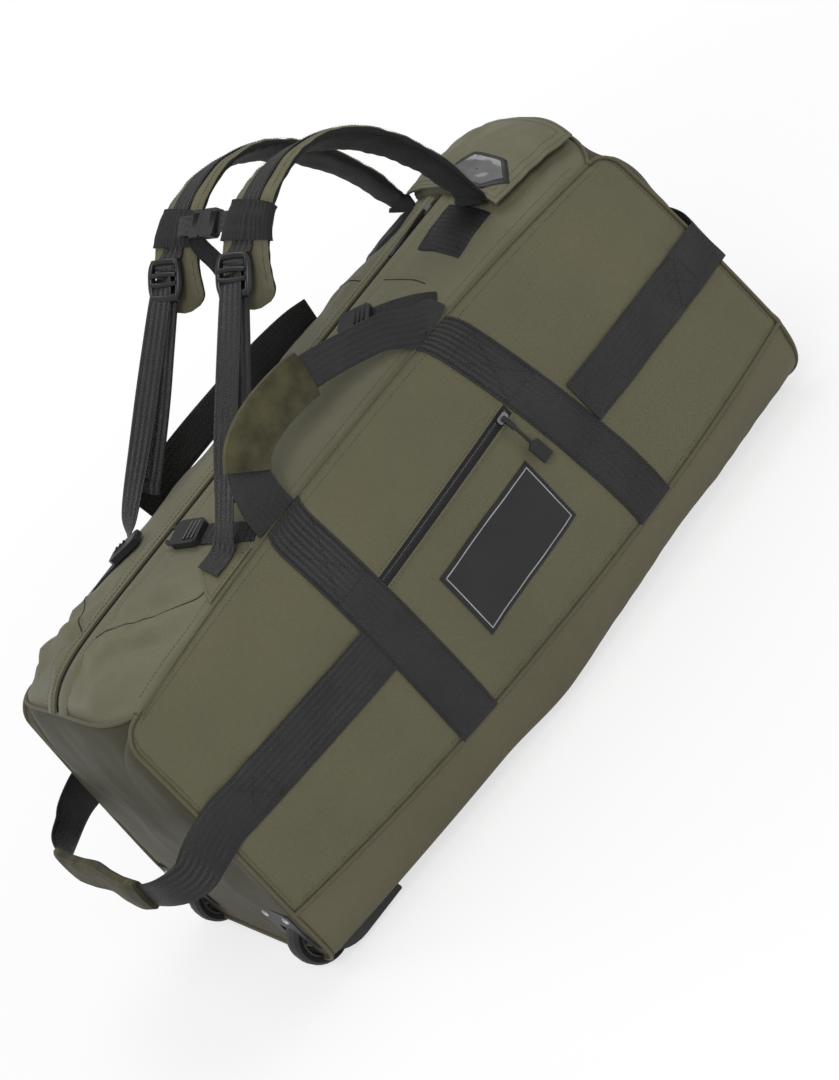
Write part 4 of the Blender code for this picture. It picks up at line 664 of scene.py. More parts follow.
def camera():
    az, el, roll = (math.radians(angle) for angle in (CAMERA_AZIMUTH, CAMERA_ELEVATION, CAMERA_ROLL))
    back = np.array([-math.sin(az) * math.cos(el), -math.cos(az) * math.cos(el), math.sin(el)])
    right = np.array([math.cos(az), -math.sin(az), 0.0])
    up = np.cross(right, -back)
    rolled_right = math.cos(roll) * right - math.sin(roll) * up
    rolled_up = math.sin(roll) * right + math.cos(roll) * up
    data = bpy.data.cameras.new("camera")
    data.lens = CAMERA_LENS
    data.sensor_width = 36.0
    data.clip_start = 0.05
    obj = bpy.data.objects.new("camera", data)
    place = Matrix([[*row] for row in np.column_stack([rolled_right, rolled_up, back])]).to_4x4()
    place.translation = Vector(np.array(CAMERA_TARGET) + back * CAMERA_AWAY)
    obj.matrix_world = place
    bpy.context.scene.collection.objects.link(obj)
    bpy.context.scene.camera = obj


# Name, place, the point aimed at, size and power in watts.
LAMPS = (("key", (-1.3, -2.2, 2.4), (0, 0, 0.2), (1.6, 1.2), 46), ("top", (0.6, 0.2, 2.8), (0, 0, 0.2), (2.0, 1.4), 30),
         ("fill", (2.3, -1.6, 0.9), (0, 0, 0.2), (1.4, 1.4), 11), ("rim", (-1.6, 2.2, 1.6), (0, 0, 0.25), (1.2, 1.0), 17))


def lamp(name, place, aim, size, power):
    data = bpy.data.lights.new(name, 'AREA')
    data.shape = 'RECTANGLE'
    data.size, data.size_y = size
    data.energy = power
    obj = bpy.data.objects.new(name, data)
    obj.location = place
    obj.rotation_euler = (Vector(aim) - Vector(place)).to_track_quat('-Z', 'Y').to_euler()
    bpy.context.scene.collection.objects.link(obj)


def surroundings():
    scene = bpy.context.scene
    scene.view_settings.view_transform = 'Standard'
    world = bpy.data.worlds.new("world")
    world.use_nodes = True
    scene.world = world
    tree = world.node_tree
    shade = tree.nodes["Background"]
    path = add(tree, "ShaderNodeLightPath")
    seen = math_node(tree, "MAXIMUM", path.outputs["Is Camera Ray"], path.outputs["Is Transmission Ray"])
    feed(tree, shade, {"Strength": spread(tree, seen, 0.36, 1.0), "Color": (1, 1, 1, 1)})
    for facts in LAMPS:
        lamp(*facts)
    mesh = bpy.data.meshes.new("floor")
    line = np.linspace(-6.0, 6.0, 24)
    mesh.from_pydata([(x, y, -0.0003) for x in line for y in line], [], grid_faces(24, 24))
    mat, tree, shader = new_material("floor_paper")
    paper = add(tree, "ShaderNodeTexNoise", Scale=40.0, Detail=2.0).outputs["Fac"]
    feed(tree, shader, {"Base Color": (0.93, 0.93, 0.93, 1), "Roughness": 0.9, "Specular IOR Level": 0.1,
                        "Normal": relief(tree, paper, 0.02, 0.001)})
    path = add(tree, "ShaderNodeLightPath")
    glow = add(tree, "ShaderNodeEmission", Strength=1.0)
    blend = add(tree, "ShaderNodeMixShader")
    spot = add(tree, "ShaderNodeTexCoord")
    away = add(tree, "ShaderNodeVectorMath", operation='LENGTH')
    feed(tree, away, {0: spot.outputs["Object"]})
    fade = add(tree, "ShaderNodeMapRange", [("Value", away.outputs["Value"])])
    feed(tree, fade, {"From Min": 0.55, "From Max": 1.5, "To Min": 0.70, "To Max": 1.0})
    share = math_node(tree, "MULTIPLY", path.outputs["Is Camera Ray"], fade.outputs[0])
    feed(tree, blend, {0: share, 1: shader.outputs[0], 2: glow.outputs[0]})
    feed(tree, tree.nodes["Material Output"], {"Surface": blend.outputs[0]})
    mesh.materials.append(mat)
    floor = bpy.data.objects.new("floor", mesh)
    scene.collection.objects.link(floor)


camera()
surroundings()


# ---- body skins -----------------------------------------------------------------------------------------
def side_skins():
    for sign, tag in SIDES:
        x, v = grid((2 * spaced(120) - 1) * HALF_SIDE, spaced(46))
        edge_v = np.minimum(v, 1 - v) * 0.26
        pucker = 0.0005 * waves(x, v * 0.26, 5 + sign, 0.018, angle=0.0, spread=0.2) * np.exp(-edge_v / 0.012)
        dip = seam_dip(HALF_SIDE - np.abs(x)) + seam_dip(edge_v) + pucker
        skin("side_skin_" + tag, *on_side(sign, x, v, SKIN_LIFT + dip), "side", replaces=("side_panel_" + tag,))


def lid_skins():
    for sign, tag in SIDES:
        x, t = grid((2 * spaced(120) - 1) * HALF_TOP, spaced(26))
        top_y = section(x / HALF_TOP)[0]
        inner = -0.0113 if sign < 0 else 0.0007
        y = inner + (sign * top_y - inner) * t
        edge = np.minimum(HALF_TOP - np.abs(x), (1 - t) * 0.11)
        dip = seam_dip(edge) + seam_dip(t * 0.11, 0.0012, 0.003)
        skin("lid_skin_" + tag, *on_lid(x, y, SKIN_LIFT + dip), "lid", replaces=("lid_panel_" + tag,))


def boot_skin():
    u, a = grid(2 * spaced(110) - 1, (2 * spaced(56, (0.002, 0.006, 0.012, 0.02)) - 1) * 0.9999)
    edge = np.minimum((1 - np.abs(u)) * 0.39, (1 - np.abs(a)) * 0.2)
    points, normals = lift(boot_at, np.clip(u, -0.9985, 0.9985), np.clip(a, -0.999, 0.999),
                           0.0002 + seam_dip(edge, 0.0016), boot_folds(u, a))
    points[..., 2] = np.maximum(points[..., 2], 0.0)
    low_y, low_z = section(u[:, 0])[2:]
    for column, sign in ((0, NEAR), (-1, FAR)):
        points[:, column] = np.stack([u[:, 0] * HALF_BOTTOM, sign * low_y, low_z], -1)
        normals[:, column] = (0, sign, 0)
    skin("bottom_skin", points, normals, "boot", replaces=("bottom_panel",))


def rim_loop(end, count=40):
    """Points once round an end of the body."""
    v = np.sin(np.linspace(0, math.pi / 2, count)) ** 0.8
    side_x = np.full(count, HALF_SIDE * end)
    near = side_at(side_x, v, NEAR)
    top_y = section(float(end))[0]
    y = -np.cos(np.linspace(0, math.pi, 2 * count)) * top_y
    lid = lid_at(np.full(2 * count, HALF_TOP * end), y)
    far = side_at(side_x, v, FAR)[::-1]
    a = -np.linspace(-1, 1, 2 * count)
    low = boot_at(np.full(2 * count, float(end)), a * 0.9999)
    return np.vstack([near[:-1], lid[:-1], far[:-1], low[:-1]])


def end_skin(name, end, bulge, node):
    edges = rim_loop(end)
    shares = np.array([0.0, 0.1, 0.2, 0.3, 0.4, 0.5, 0.6, 0.68, 0.75, 0.81, 0.86, 0.90, 0.93, 0.955, 0.975, 0.988,
                       0.996, 1.0])
    middle = np.array([end * (HALF_BOTTOM - 0.004), 0.0, 0.185])
    r = shares[:, None]
    points = middle + (edges[None] - middle) * r[..., None]
    points[..., 0] = edges[None, :, 0] + (middle[0] - edges[None, :, 0]) * (1 - r ** 7) + end * bulge * (1 - r ** 2.6)
    y, z = points[..., 1], points[..., 2]
    seed = 111 if end < 0 else 131
    soft = 0.0018 * waves(y, z, seed, 0.12) + 0.0008 * waves(y, z, seed + 1, 0.04)
    if end > 0:
        calm = 1 - 0.85 * np.exp(-((z - BAND_HEIGHT) / 0.05) ** 4)
        soft = (soft * 2.0 + 0.0034 * waves(y, z, seed + 2, 0.07, angle=1.2)) * calm
    soft = soft * ease((1 - r) / 0.12) + SKIN_LIFT + seam_dip((1 - r) * 0.13)
    normals = unit(np.cross(np.gradient(points, axis=0), np.gradient(points, axis=1)))
    normals[0] = (end, 0, 0)
    normals = normals * np.sign(normals[..., :1] * end + 1e-9)
    points = points + normals * soft[..., None]
    rows, cols = points.shape[:2]
    outer = points.reshape(-1, 3)
    inner = (points - normals * SKIN_THICK).reshape(-1, 3)
    faces = grid_faces(rows, cols, close=True)
    count = len(outer)
    back = [tuple(count + k for k in f[::-1]) for f in faces]
    edge = (rows - 1) * cols
    border = [(edge + k, edge + (k + 1) % cols, count + edge + (k + 1) % cols, count + edge + k) for k in range(cols)]
    uv = np.vstack([outer[:, 1:], outer[:, 1:]])
    obj = make(name, np.vstack([outer, inner]), faces + back + border, "end", uv, replaces=(node,))
    fix_normals(obj, merge=1e-6)


side_skins()
lid_skins()
boot_skin()
end_skin("wheel_end_skin", -1, 0.010, "wheel_end_panel")
end_skin("pull_end_skin", 1, 0.036, "pull_end_panel")


# ---- webbing on the body ----------------------------------------------------------------------------------
STRAP_LOW_X, STRAP_UP_X, STRAP_UP_LEAN = -0.140, 0.145, 0.034


def lower_x(v):
    return STRAP_LOW_X + 0 * v


def upper_x(v):
    return STRAP_UP_X - STRAP_UP_LEAN * np.maximum(v, 0.0) ** 1.6


WEB_LINES = (("lower", lower_x), ("upper", upper_x))


def vertical_webbing():
    c, v = grid(np.linspace(-0.5, 0.5, 11), np.linspace(0.0, 0.996, 60))
    out = 0.0028 - 0.00072 * rim_mask(*v.shape)
    for sign, tag in SIDES:
        for which, centre in WEB_LINES:
            skin("%s_webbing_%s" % (which, tag), *on_side(sign, centre(v) + c * WEB_WIDE, v, out), "web", thick=0.00144,
                 replaces=("webbing_%s_%s" % (which, tag),))


vertical_webbing()


def band_station(x, sign, out):
    v = side_v(x, BAND_HEIGHT)
    point = on_side(sign, x, v, out)[0]
    return point, unit(on_side(sign, x, v + 0.09, out)[0] - on_side(sign, x, v - 0.09, out)[0])


def banded_route(start, stop, count, out, middle):
    edge = abs(band_station(stop, NEAR, out)[0][1])
    turned = [unit((0.0, -0.26 * (p[1] / edge) ** 3, 1.0)) for p in middle]
    stations = np.linspace(start, stop, count)
    near = [band_station(x, NEAR, out) for x in stations]
    far = [band_station(x, FAR, out) for x in stations[::-1]]
    return ([p for p, n in near] + middle + [p for p, n in far],
            [n for p, n in near] + turned + [n for p, n in far])


def pull_band():
    start = float(upper_x(0.4)) + WEB_WIDE / 2 + 0.001
    stop = HALF_BOTTOM - 0.010
    edge = band_station(stop, NEAR, 0.002)[0][1]
    shares = [1.0, 0.96, 0.88, 0.75, 0.55, 0.3]
    middle = [np.array((HALF_BOTTOM + BAND_LIFT + 0.036 * (1 - abs(share) ** 2.6), edge * share, BAND_HEIGHT))
              for share in shares + [0.0] + [-s for s in shares[::-1]]]
    route, leans = banded_route(start, stop, 9, BAND_LIFT, middle)
    ribbon("pull_end_band", route, leans, WEB_WIDE, BAND_THICK, "web", steps=150, columns=12, replaces=("band_pull_end",))


pull_band()

LOOP_REACH, LOOP_DROP = -0.470, 0.012


def wheel_loop():
    z = BAND_HEIGHT - LOOP_DROP
    stop = -HALF_BOTTOM + 0.016
    edge = band_station(stop, NEAR, 0.002)[0][1]
    near = [(stop - 0.030, edge - 0.0005, BAND_HEIGHT - 0.004), (LOOP_REACH + 0.034, edge + 0.004, z),
            (LOOP_REACH + 0.011, edge + 0.026, z), (LOOP_REACH, edge * 0.55, z), (LOOP_REACH, edge * 0.25, z)]
    middle = [np.array(p) for p in near + [(LOOP_REACH + 0.003, 0.0, z)] + [(x, -y, h) for x, y, h in near[::-1]]]
    count = 8
    route, leans = banded_route(STRAP_LOW_X - WEB_WIDE / 2, stop, count, BAND_LIFT, middle)
    taper = [0.048, 0.042, 0.034, 0.028, 0.026]
    widths = [WEB_WIDE] * count + taper + [0.026] + taper[::-1] + [WEB_WIDE] * count
    thicks = [BAND_THICK] * count + [0.0026] * 11 + [BAND_THICK] * count
    path = ribbon("wheel_end_band", route, leans, widths, thicks, "web", steps=170, columns=12,
                  replaces=("wheel_end_loop",))[1][0]
    inside = [k for k in range(len(path)) if abs(path[k][1]) < 0.092 and path[k][0] < -0.44]
    grip = path[inside]
    widths = np.full(len(grip), 0.039)
    widths[[0, -1]] = 0.036
    thick = np.full(len(grip), 0.0105)
    thick[[0, -1]] = 0.0085
    cover = ribbon("wheel_end_cover", grip[::3], (0, 0, 1), widths[::3], thick[::3], "fleece", steps=50, columns=12,
                   crown=0.0015, replaces=("wheel_end_grip",))[0]


wheel_loop()


# ---- carry handles --------------------------------------------------------------------------------------
def handle_root(x, sign):
    top_y, top_z = section(x / HALF_SIDE)[:2]
    return np.array((x, sign * (top_y + 0.0016), top_z + 0.0018))


def near_handle():
    low, high = handle_root(STRAP_LOW_X, NEAR), handle_root(float(upper_x(1.0)), NEAR)
    y = (low[1] + high[1]) / 2
    x0, x1, rise = low[0], high[0], 0.430
    route = [low, low + (0.001, 0, 0.022), (x0 + 0.010, y, rise - 0.024), (x0 + 0.027, y, rise - 0.008),
             (x0 + 0.055, y, rise), (x0 + 0.090, y, rise + 0.001), (x0 + 0.120, y, rise - 0.003),
             (x0 + 0.150, y, rise - 0.012), (x1 - 0.073, y, rise - 0.022), (x1 - 0.045, y, rise - 0.034),
             (x1 - 0.018, y, high[2] + 0.016), high + (-0.003, 0, 0.008), high]
    widths = [WEB_WIDE, 0.048, 0.044, 0.040, 0.038, 0.036, 0.036, 0.035, 0.035, 0.036, 0.040, 0.046, 0.048]
    across = [(1, 0, 0), (1, 0, -0.1), (0.9, 0, -0.5), (0.5, 0, -0.9), (0, 0, -1), (0, 0, -1), (-0.1, 0, -1),
              (-0.3, 0, -1), (-0.3, 0, -1), (-0.4, 0, -1), (-1, 0, -0.8), (-1, 0, -0.1), (-1, 0, 0)]
    facts = ribbon("carry_webbing_near", route, across, widths, 0.0026, "web", steps=90, columns=12,
                   body="carry_handle_near", replaces=("carry_loop_near",))[1]
    path, table = facts[0], facts[4]
    picked = [k for k in range(len(path)) if -0.130 < path[k][0] < -0.019 and path[k][2] > 0.39]
    cover = ribbon("carry_cover_near", path[picked][::4], table[picked][::4, 3:6], 0.048, 0.0105, "fleece", steps=44,
                   columns=14, crown=0.0015, body="carry_handle_near", replaces=("carry_grip_near",))[0]


def far_handle():
    x0, x1 = STRAP_LOW_X - 0.016, float(upper_x(1.0)) + 0.016
    stations = [x0, x0 + 0.030, x0 + 0.075, (x0 + x1) / 2, x1 - 0.075, x1 - 0.030, x1]
    widths = [0.030, 0.036, 0.038, 0.038, 0.038, 0.036, 0.030]
    route = []
    for x, width, out in zip(stations, widths, (0.0, 0.0, 0.004, 0.006, 0.004, 0.0, 0.0)):
        top_y, top_z = section(x / HALF_SIDE)[:2]
        route.append(np.array((x, top_y + 0.0016 + out, top_z + 0.0011 + width / 2)))
    ribbon("carry_webbing_far", route, (0, 0, 1), widths, 0.0026, "web", steps=60, columns=12, body="carry_handle_far",
           replaces=("carry_loop_far",))


near_handle()
far_handle()


# ---- shoulder pads --------------------------------------------------------------------------------------
PAD_ROOT_X, PAD_ROOT_Y, PAD_TOP_Y = 0.256, 0.060, 0.072
# How far back from the root, share of the way to the top's distance from the middle, and height.
PAD_ARCH = [(0.0000, 0.46, 0.4130), (0.0130, 0.67, 0.4570), (0.0440, 0.83, 0.5120), (0.0840, 1.00, 0.5500),
            (0.1260, 1.00, 0.5670), (0.1660, 1.00, 0.5660), (0.2030, 1.00, 0.5520), (0.2290, 1.00, 0.5290),
            (0.2450, 1.00, 0.5060), (0.2530, 1.00, 0.4880)]
PAD_YAW = math.radians(30)


def yawed(angle):
    """Across direction of a strap that is turned about the upright towards the near side."""
    angle = np.asarray(angle, float)
    return np.stack([-np.sin(angle), np.cos(angle), 0 * angle], -1)


def pad_line(sign, steps=110):
    """Middle line of a pad from its fold on the lid, with its across, outward and length."""
    fold = on_lid(PAD_ROOT_X - 0.003, sign * PAD_ROOT_Y, 0.0040)[0]
    route = [fold, fold + (0.0065, 0, 0.007)]
    for back, share, z in PAD_ARCH:
        route.append(np.array((PAD_ROOT_X - back, sign * (PAD_ROOT_Y + (PAD_TOP_Y - PAD_ROOT_Y) * share), z)))
    path = smooth_path(route, steps)
    tangent, side, through = path_frames(path, yawed(PAD_YAW * ease(np.linspace(-0.1, 1.7, len(path)))))
    return path, tangent, side, through, lengths(path)


def shoulder_pad(sign, tag):
    path, tangent, side, through, length = pad_line(sign)
    total = length[-1]
    left = total - length
    width = 0.050 + 0.005 * ease(length / 0.05)
    width = width * np.sqrt(np.clip(1 - (1 - np.minimum(left / 0.021, 1)) ** 2.4, 0.03, 1))
    thick = 0.0046 + 0.0066 * ease(length / 0.05)
    thick = thick * (0.45 + 0.55 * ease(left / 0.016))
    turns = np.linspace(0, 2 * math.pi, 44, endpoint=False)
    c, s = np.cos(turns), np.sin(turns)
    a, b = shaped(c, 0.62), shaped(s, 0.72)
    span = a[None] * (width / 2)[:, None]
    groove = 1 - 0.22 * np.exp(-(span / 0.0145) ** 8)
    puff = np.where(b[None] > 0, groove, 0.92)
    rows = length[:, None] + 0 * span
    wrinkle = 0.0006 * waves(rows, span, 201 + sign, 0.022, angle=0.1, spread=0.35)
    wrinkle = wrinkle * np.exp(-((np.abs(a[None]) - 0.86) / 0.18) ** 2)
    wrinkle = wrinkle + 0.0005 * waves(rows, span, 205 + sign, 0.05)
    rise = b[None] * (thick / 2)[:, None] * puff + np.sign(b[None]) * wrinkle * ease(np.abs(b[None]) / 0.3)
    points = path[:, None] + side[:, None] * span[..., None] + through[:, None] * rise[..., None]
    n, count = span.shape
    faces = grid_faces(n, count, close=True)
    slots = []  # 2 is the mesh underneath, 1 the binding and 0 the cloth on top
    for k in range(len(faces)):
        j = k % count
        mid_a, mid_b = abs(a[j] + a[(j + 1) % count]) / 2, (b[j] + b[(j + 1) % count]) / 2
        slots.append(2 if mid_b < -0.42 and mid_a < 0.97 else (1 if mid_b < 0.16 else 0))
    faces += caps(n, count)
    slots += [1, 1]
    uv = np.stack([np.broadcast_to(span, rows.shape), rows], -1).reshape(-1, 2)
    cushion = make("pad_cushion_" + tag, points.reshape(-1, 3), faces, ["pad", "binding", "mesh"], uv, slots,
                   replaces=("shoulder_pad_" + tag,), sharp=60)
    fix_normals(cushion)
    for edge in (-1, 1):
        at = path + side * (edge * (width / 2 - 0.0045))[:, None] + through * (thick / 2 * 0.80)[:, None]
        keep = (length > 0.015) & (left > 0.012)
        stitch(at[keep], through[keep] + side[keep] * edge * 0.5, "thread", pitch=0.0036, long=0.0024)
    return path, tangent, side, through, length, width, thick


def pad_strap(tag, facts, lock):
    """Webbing sewn along the outside of a pad, down to the ladder lock."""
    path, tangent, side, through, length, _, thick = facts
    start = int(np.searchsorted(length, 0.118))
    reach = np.linalg.norm(path - lock, axis=1)
    stop = int(np.argmin(reach)) - 5
    outer = path + through * (thick / 2 * 0.86 + 0.0012)[:, None]
    route = list(outer[start:stop:4])
    bar = lock - tangent[stop] * 0.0125 + through[stop] * 0.0005
    leans = list(side[start:stop:4])
    route += [bar - tangent[stop] * 0.004, bar + through[stop] * 0.0030,
              bar + tangent[stop] * 0.0030 + through[stop] * 0.0022]
    leans += [side[stop]] * 3
    ribbon("pad_strap_" + tag, route, leans, WEB_NARROW, 0.0017, "web", steps=90, columns=10,
           replaces=("pad_webbing_" + tag,))
    for edge in (-1, 1):
        at = outer[start:stop] + side[start:stop] * edge * 0.0105 + through[start:stop] * 0.0010
        stitch(at, through[start:stop], "thread_black", pitch=0.0034, long=0.0023)
    box = [(-0.009, 0.002), (0.009, 0.002), (0.009, 0.026), (-0.009, 0.026), (-0.009, 0.002), (0.009, 0.026)]
    spots = []
    for aside, ahead in box:
        k = int(np.searchsorted(length, length[start] + ahead))
        spots.append(outer[k] + side[k] * aside + through[k] * 0.0011)
    line = smooth_line(spots)
    stitch(line, np.broadcast_to(through[start], line.shape), "thread_black")


def smooth_line(corners, step=0.003):
    """Straight runs between corners at small steps."""
    out = []
    for a, b in zip(corners[:-1], corners[1:]):
        a, b = np.asarray(a, float), np.asarray(b, float)
        count = max(2, int(np.linalg.norm(b - a) / step))
        out += [a + (b - a) * k / count for k in range(count)]
    return np.array(out + [np.asarray(corners[-1], float)])


def keeper(tag, facts, place, tall=0.034):
    """Elastic band round a pad, where the sternum strap is held."""
    path, _, side, through, length, width, thick = facts
    k = int(np.argmin(np.abs(path[:, 0] - place) + (path[:, 2] < 0.5)))
    turns = np.linspace(0, 2 * math.pi, 40, endpoint=False)
    a, b = shaped(np.cos(turns), 0.55), shaped(np.sin(turns), 0.7)
    rings = []
    for shift in np.linspace(-tall / 2, tall / 2, 13):
        i = int(np.argmin(np.abs(length - (length[k] + shift))))
        flare = 0.0003 + 0.0006 * (abs(shift) > tall * 0.45)
        w, t = width[i] / 2 + 0.0016 + flare, thick[i] / 2 + 0.0026 + flare
        ribs = 0.0004 * np.sin(length[i] * 1400)
        rings.append(path[i] + side[i] * (a * w)[:, None] + through[i] * (b * (t + ribs))[:, None])
    points = np.array(rings)
    n, count = points.shape[:2]
    centre = points.mean(axis=1, keepdims=True)
    inner = centre + (points - centre) * 0.965
    verts = np.vstack([points.reshape(-1, 3), inner.reshape(-1, 3)])
    faces = grid_faces(n, count, close=True)
    faces += [tuple(n * count + q for q in f[::-1]) for f in faces]
    for row in (0, n - 1):
        for j in range(count):
            m = (j + 1) % count
            faces.append((row * count + j, row * count + m, n * count + row * count + m, n * count + row * count + j))
    u = np.cumsum(np.linalg.norm(np.diff(points[0], axis=0, append=points[0][:1]), axis=1))
    uv = np.stack(np.broadcast_arrays(u[None], np.linspace(0, tall, n)[:, None]), -1).reshape(-1, 2)
    fix_normals(make("keeper_" + tag, verts, faces, "elastic", np.vstack([uv, uv])))


def middle_of(node):
    low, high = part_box(node)
    return (np.array(low) + np.array(high)) / 2


def lower_strap(sign, tag):
    """Webbing from the ladder lock down to its wing on the lid, and the loose tail."""
    lock = middle_of("ladder_lock_" + tag)
    end_x, end_y = -0.222, 0.099 * sign
    root = on_lid(end_x, end_y, 0.0046)[0]
    rise, foot_point = (on_lid(end_x + 0.024, end_y, out)[0] for out in (0.0048, 0.0062))
    way = unit(foot_point - lock)
    out = unit(np.cross(np.array((0.0, 1.0, 0.0)), -way))
    back, front = lock + way * 0.018 - out * 0.0046, lock + way * 0.018 + out * 0.0046
    straight = unit(foot_point - back)
    run = [root, rise, foot_point + (0.020, 0, 0.016)]
    run += [back + straight * reach for reach in (0.150, 0.100, 0.050, 0.0)]
    run += [lock - out * 0.0036 + way * 0.003, lock - way * 0.0030, lock + out * 0.0036 + way * 0.003, front]
    tail_way = unit(straight + np.array((0.0, 0.0, -0.05)))
    run += [front + tail_way * reach + out * bow
            for reach, bow in ((0.050, 0.0010), (0.100, 0.0018), (0.150, 0.0012), (0.190, 0.0))]
    turned = [20, 42, 48, 46, 38] + [30] * 4 + [34, 40, 44, 44]
    lean = unit(on_lid(end_x, end_y + 0.004)[0] - on_lid(end_x, end_y - 0.004)[0])
    across = [tuple(lean)] * 2 + [tuple(yawed(math.radians(a))) for a in turned]
    ribbon("lower_strap_" + tag, run, across, WEB_NARROW, 0.0017, "web", steps=150, columns=9,
           replaces=("lower_webbing_" + tag,))
    hem = front + tail_way * 0.182
    ribbon("tail_hem_" + tag, [hem, hem + tail_way * 0.006, hem + tail_way * 0.013], tuple(yawed(math.radians(44))),
           WEB_NARROW + 0.0006, 0.0036, "web", steps=8, columns=9)


PADS = {}
for pad_sign, pad_tag in SIDES:
    PADS[pad_tag] = shoulder_pad(pad_sign, pad_tag)
    pad_strap(pad_tag, PADS[pad_tag], middle_of("ladder_lock_" + pad_tag))
    keeper(pad_tag, PADS[pad_tag], 0.052)
    lower_strap(pad_sign, pad_tag)


# ---- patches on the lid ----------------------------------------------------------------------------------
def lid_layer(name, corners, mat, thick, bed, rows=14, columns=14, **how):
    """Flat piece on the lid from four corners in x and y."""
    p = np.array(corners, float)
    s, t = grid(np.linspace(0, 1, rows), np.linspace(0, 1, columns))
    shares = ((1 - s) * (1 - t), s * (1 - t), s * t, (1 - s) * t)
    x, y = (sum(share * corner[axis] for share, corner in zip(shares, p)) for axis in (0, 1))
    out = thick + bed - 0.5 * thick * rim_mask(rows, columns)
    skin(name, *on_lid(x, y, out), mat, thick=thick * 0.95, **how)


def lid_stitch(corners, mat, out, **how):
    line = smooth_line([(x, y, 0.0) for x, y in corners])
    stitch(*on_lid(line[:, 0], line[:, 1], out), mat, **how)


def inset(corners, amount):
    p = np.array(corners, float)
    middle = p.mean(axis=0)
    return [tuple(q + (middle - q) * (amount / np.linalg.norm(middle - q)) * 1.35) for q in p]


for flip, tag in SIDES:
    square = [(0.258, flip * 0.084), (0.196, flip * 0.089), (0.190, flip * 0.038), (0.252, flip * 0.033)]
    lid_layer("anchor_patch_" + tag, square, "web", 0.0020, 0.0006)
    ring = inset(square, 0.004)
    lid_stitch(ring + [ring[0], ring[2]], "thread_black", 0.0027)
    lid_stitch([ring[1], ring[3]], "thread_black", 0.0027)
    # The wing is a triangle: its last two corners lie nearly on the same spot.
    wing = [(-0.212, flip * 0.080), (-0.186, flip * 0.117), (-0.255, flip * 0.117), (-0.2551, flip * 0.1168)]
    lid_layer("strap_wing_" + tag, wing, "pad", 0.0016, 0.0005)
    ring = inset(wing[:3], 0.005)
    lid_stitch(ring + [ring[0]], "thread", 0.0022)


# ---- piping and topstitching along the seams -----------------------------------------------------------
def seams():
    t = np.linspace(-1, 1, 150)
    for sign, tag in SIDES:
        tube("bottom_piping_" + tag, on_side(sign, t * HALF_SIDE, 0.0, -0.0004)[0], 0.0023, "piping")
        tube("top_piping_" + tag, on_side(sign, t * 0.392, 1.0, -0.0004)[0], 0.0015, "piping")
        for v, out in ((0.030, 0.0004), (0.965, 0.0006)):
            stitch(*on_side(sign, t * 0.378, v, out), "thread")
        stitch(*on_lid(t * 0.365, sign * (section(t * 0.93)[0] - 0.0075), 0.0004), "thread")
    for end, tag in ((-1, "wheel"), (1, "pull")):
        loop = rim_loop(end)
        middle = loop.mean(axis=0)
        loop = np.vstack([loop, loop[:2]])
        out = unit(loop - middle) * 0.0002
        loop[:, 2] = np.maximum(loop[:, 2], 0.0022)
        tube("rim_piping_" + tag, loop + out, 0.0019, "piping")
    for sign in (NEAR, FAR):
        v = np.linspace(0.05, 0.95, 60)
        for x in (-0.3865, 0.3865):
            stitch(*on_side(sign, x + 0 * v, v, 0.0005), "thread")


seams()


# ---- webbing stitches -----------------------------------------------------------------------------------
def side_stitch(sign, corners, out, mat="thread_black"):
    """Stitches between corners given as x and height on a side panel."""
    line = smooth_line([(x, z, 0.0) for x, z in corners])
    stitch(*on_side(sign, line[:, 0], side_v(line[:, 0], line[:, 1]), out), mat)


def cross_box(sign, x0, x1, z0, z1, out, lean=0.0):
    a, b, c, d = (x0 + lean * z0, z0), (x1 + lean * z0, z0), (x1 + lean * z1, z1), (x0 + lean * z1, z1)
    side_stitch(sign, [a, b, c, d, a, c], out)
    side_stitch(sign, [b, d], out)


WEB_OUT = 0.0030
for web_sign in (NEAR, FAR):
    for web_line, web_centre in WEB_LINES:
        web_v = np.linspace(0.02, 0.985, 90)
        for web_edge in (-1, 1):
            web_x = web_centre(web_v) + web_edge * (WEB_WIDE / 2 - 0.0028)
            stitch(*on_side(web_sign, web_x, web_v, WEB_OUT), "thread_black")
    cross_box(web_sign, STRAP_LOW_X - 0.021, STRAP_LOW_X + 0.021, 0.262, 0.330, WEB_OUT)
    cross_box(web_sign, 0.1547, 0.1967, 0.262, 0.330, WEB_OUT, lean=-0.184)
    cross_box(web_sign, -0.361, -0.322, 0.184, 0.227, WEB_OUT + 0.0006)
    cross_box(web_sign, 0.317, 0.355, 0.184, 0.227, WEB_OUT + 0.0006)
    for web_z in (BAND_HEIGHT - 0.0222, BAND_HEIGHT + 0.0222):
        side_stitch(web_sign, [(-0.372, web_z), (-0.168, web_z)], WEB_OUT + 0.0004)
        side_stitch(web_sign, [(0.172, web_z), (0.374, web_z)], WEB_OUT + 0.0004)


# ---- blank patch ------------------------------------------------------------------------------------------
PATCH_X = (-0.0735, 0.0745)
PATCH_LOW, PATCH_HIGH = (0.1275, 0.1390), (0.2045, 0.2140)


def patch_grid(x0, x1, edge0, edge1, rows, columns):
    """Grid over part of the patch; shares run from its lower wheel-end corner."""
    s, t = grid(np.linspace(x0, x1, rows), np.linspace(edge0, edge1, columns))
    low, high, x = (a + (b - a) * s for a, b in (PATCH_LOW, PATCH_HIGH, PATCH_X))
    return x, side_v(x, low + (high - low) * t)


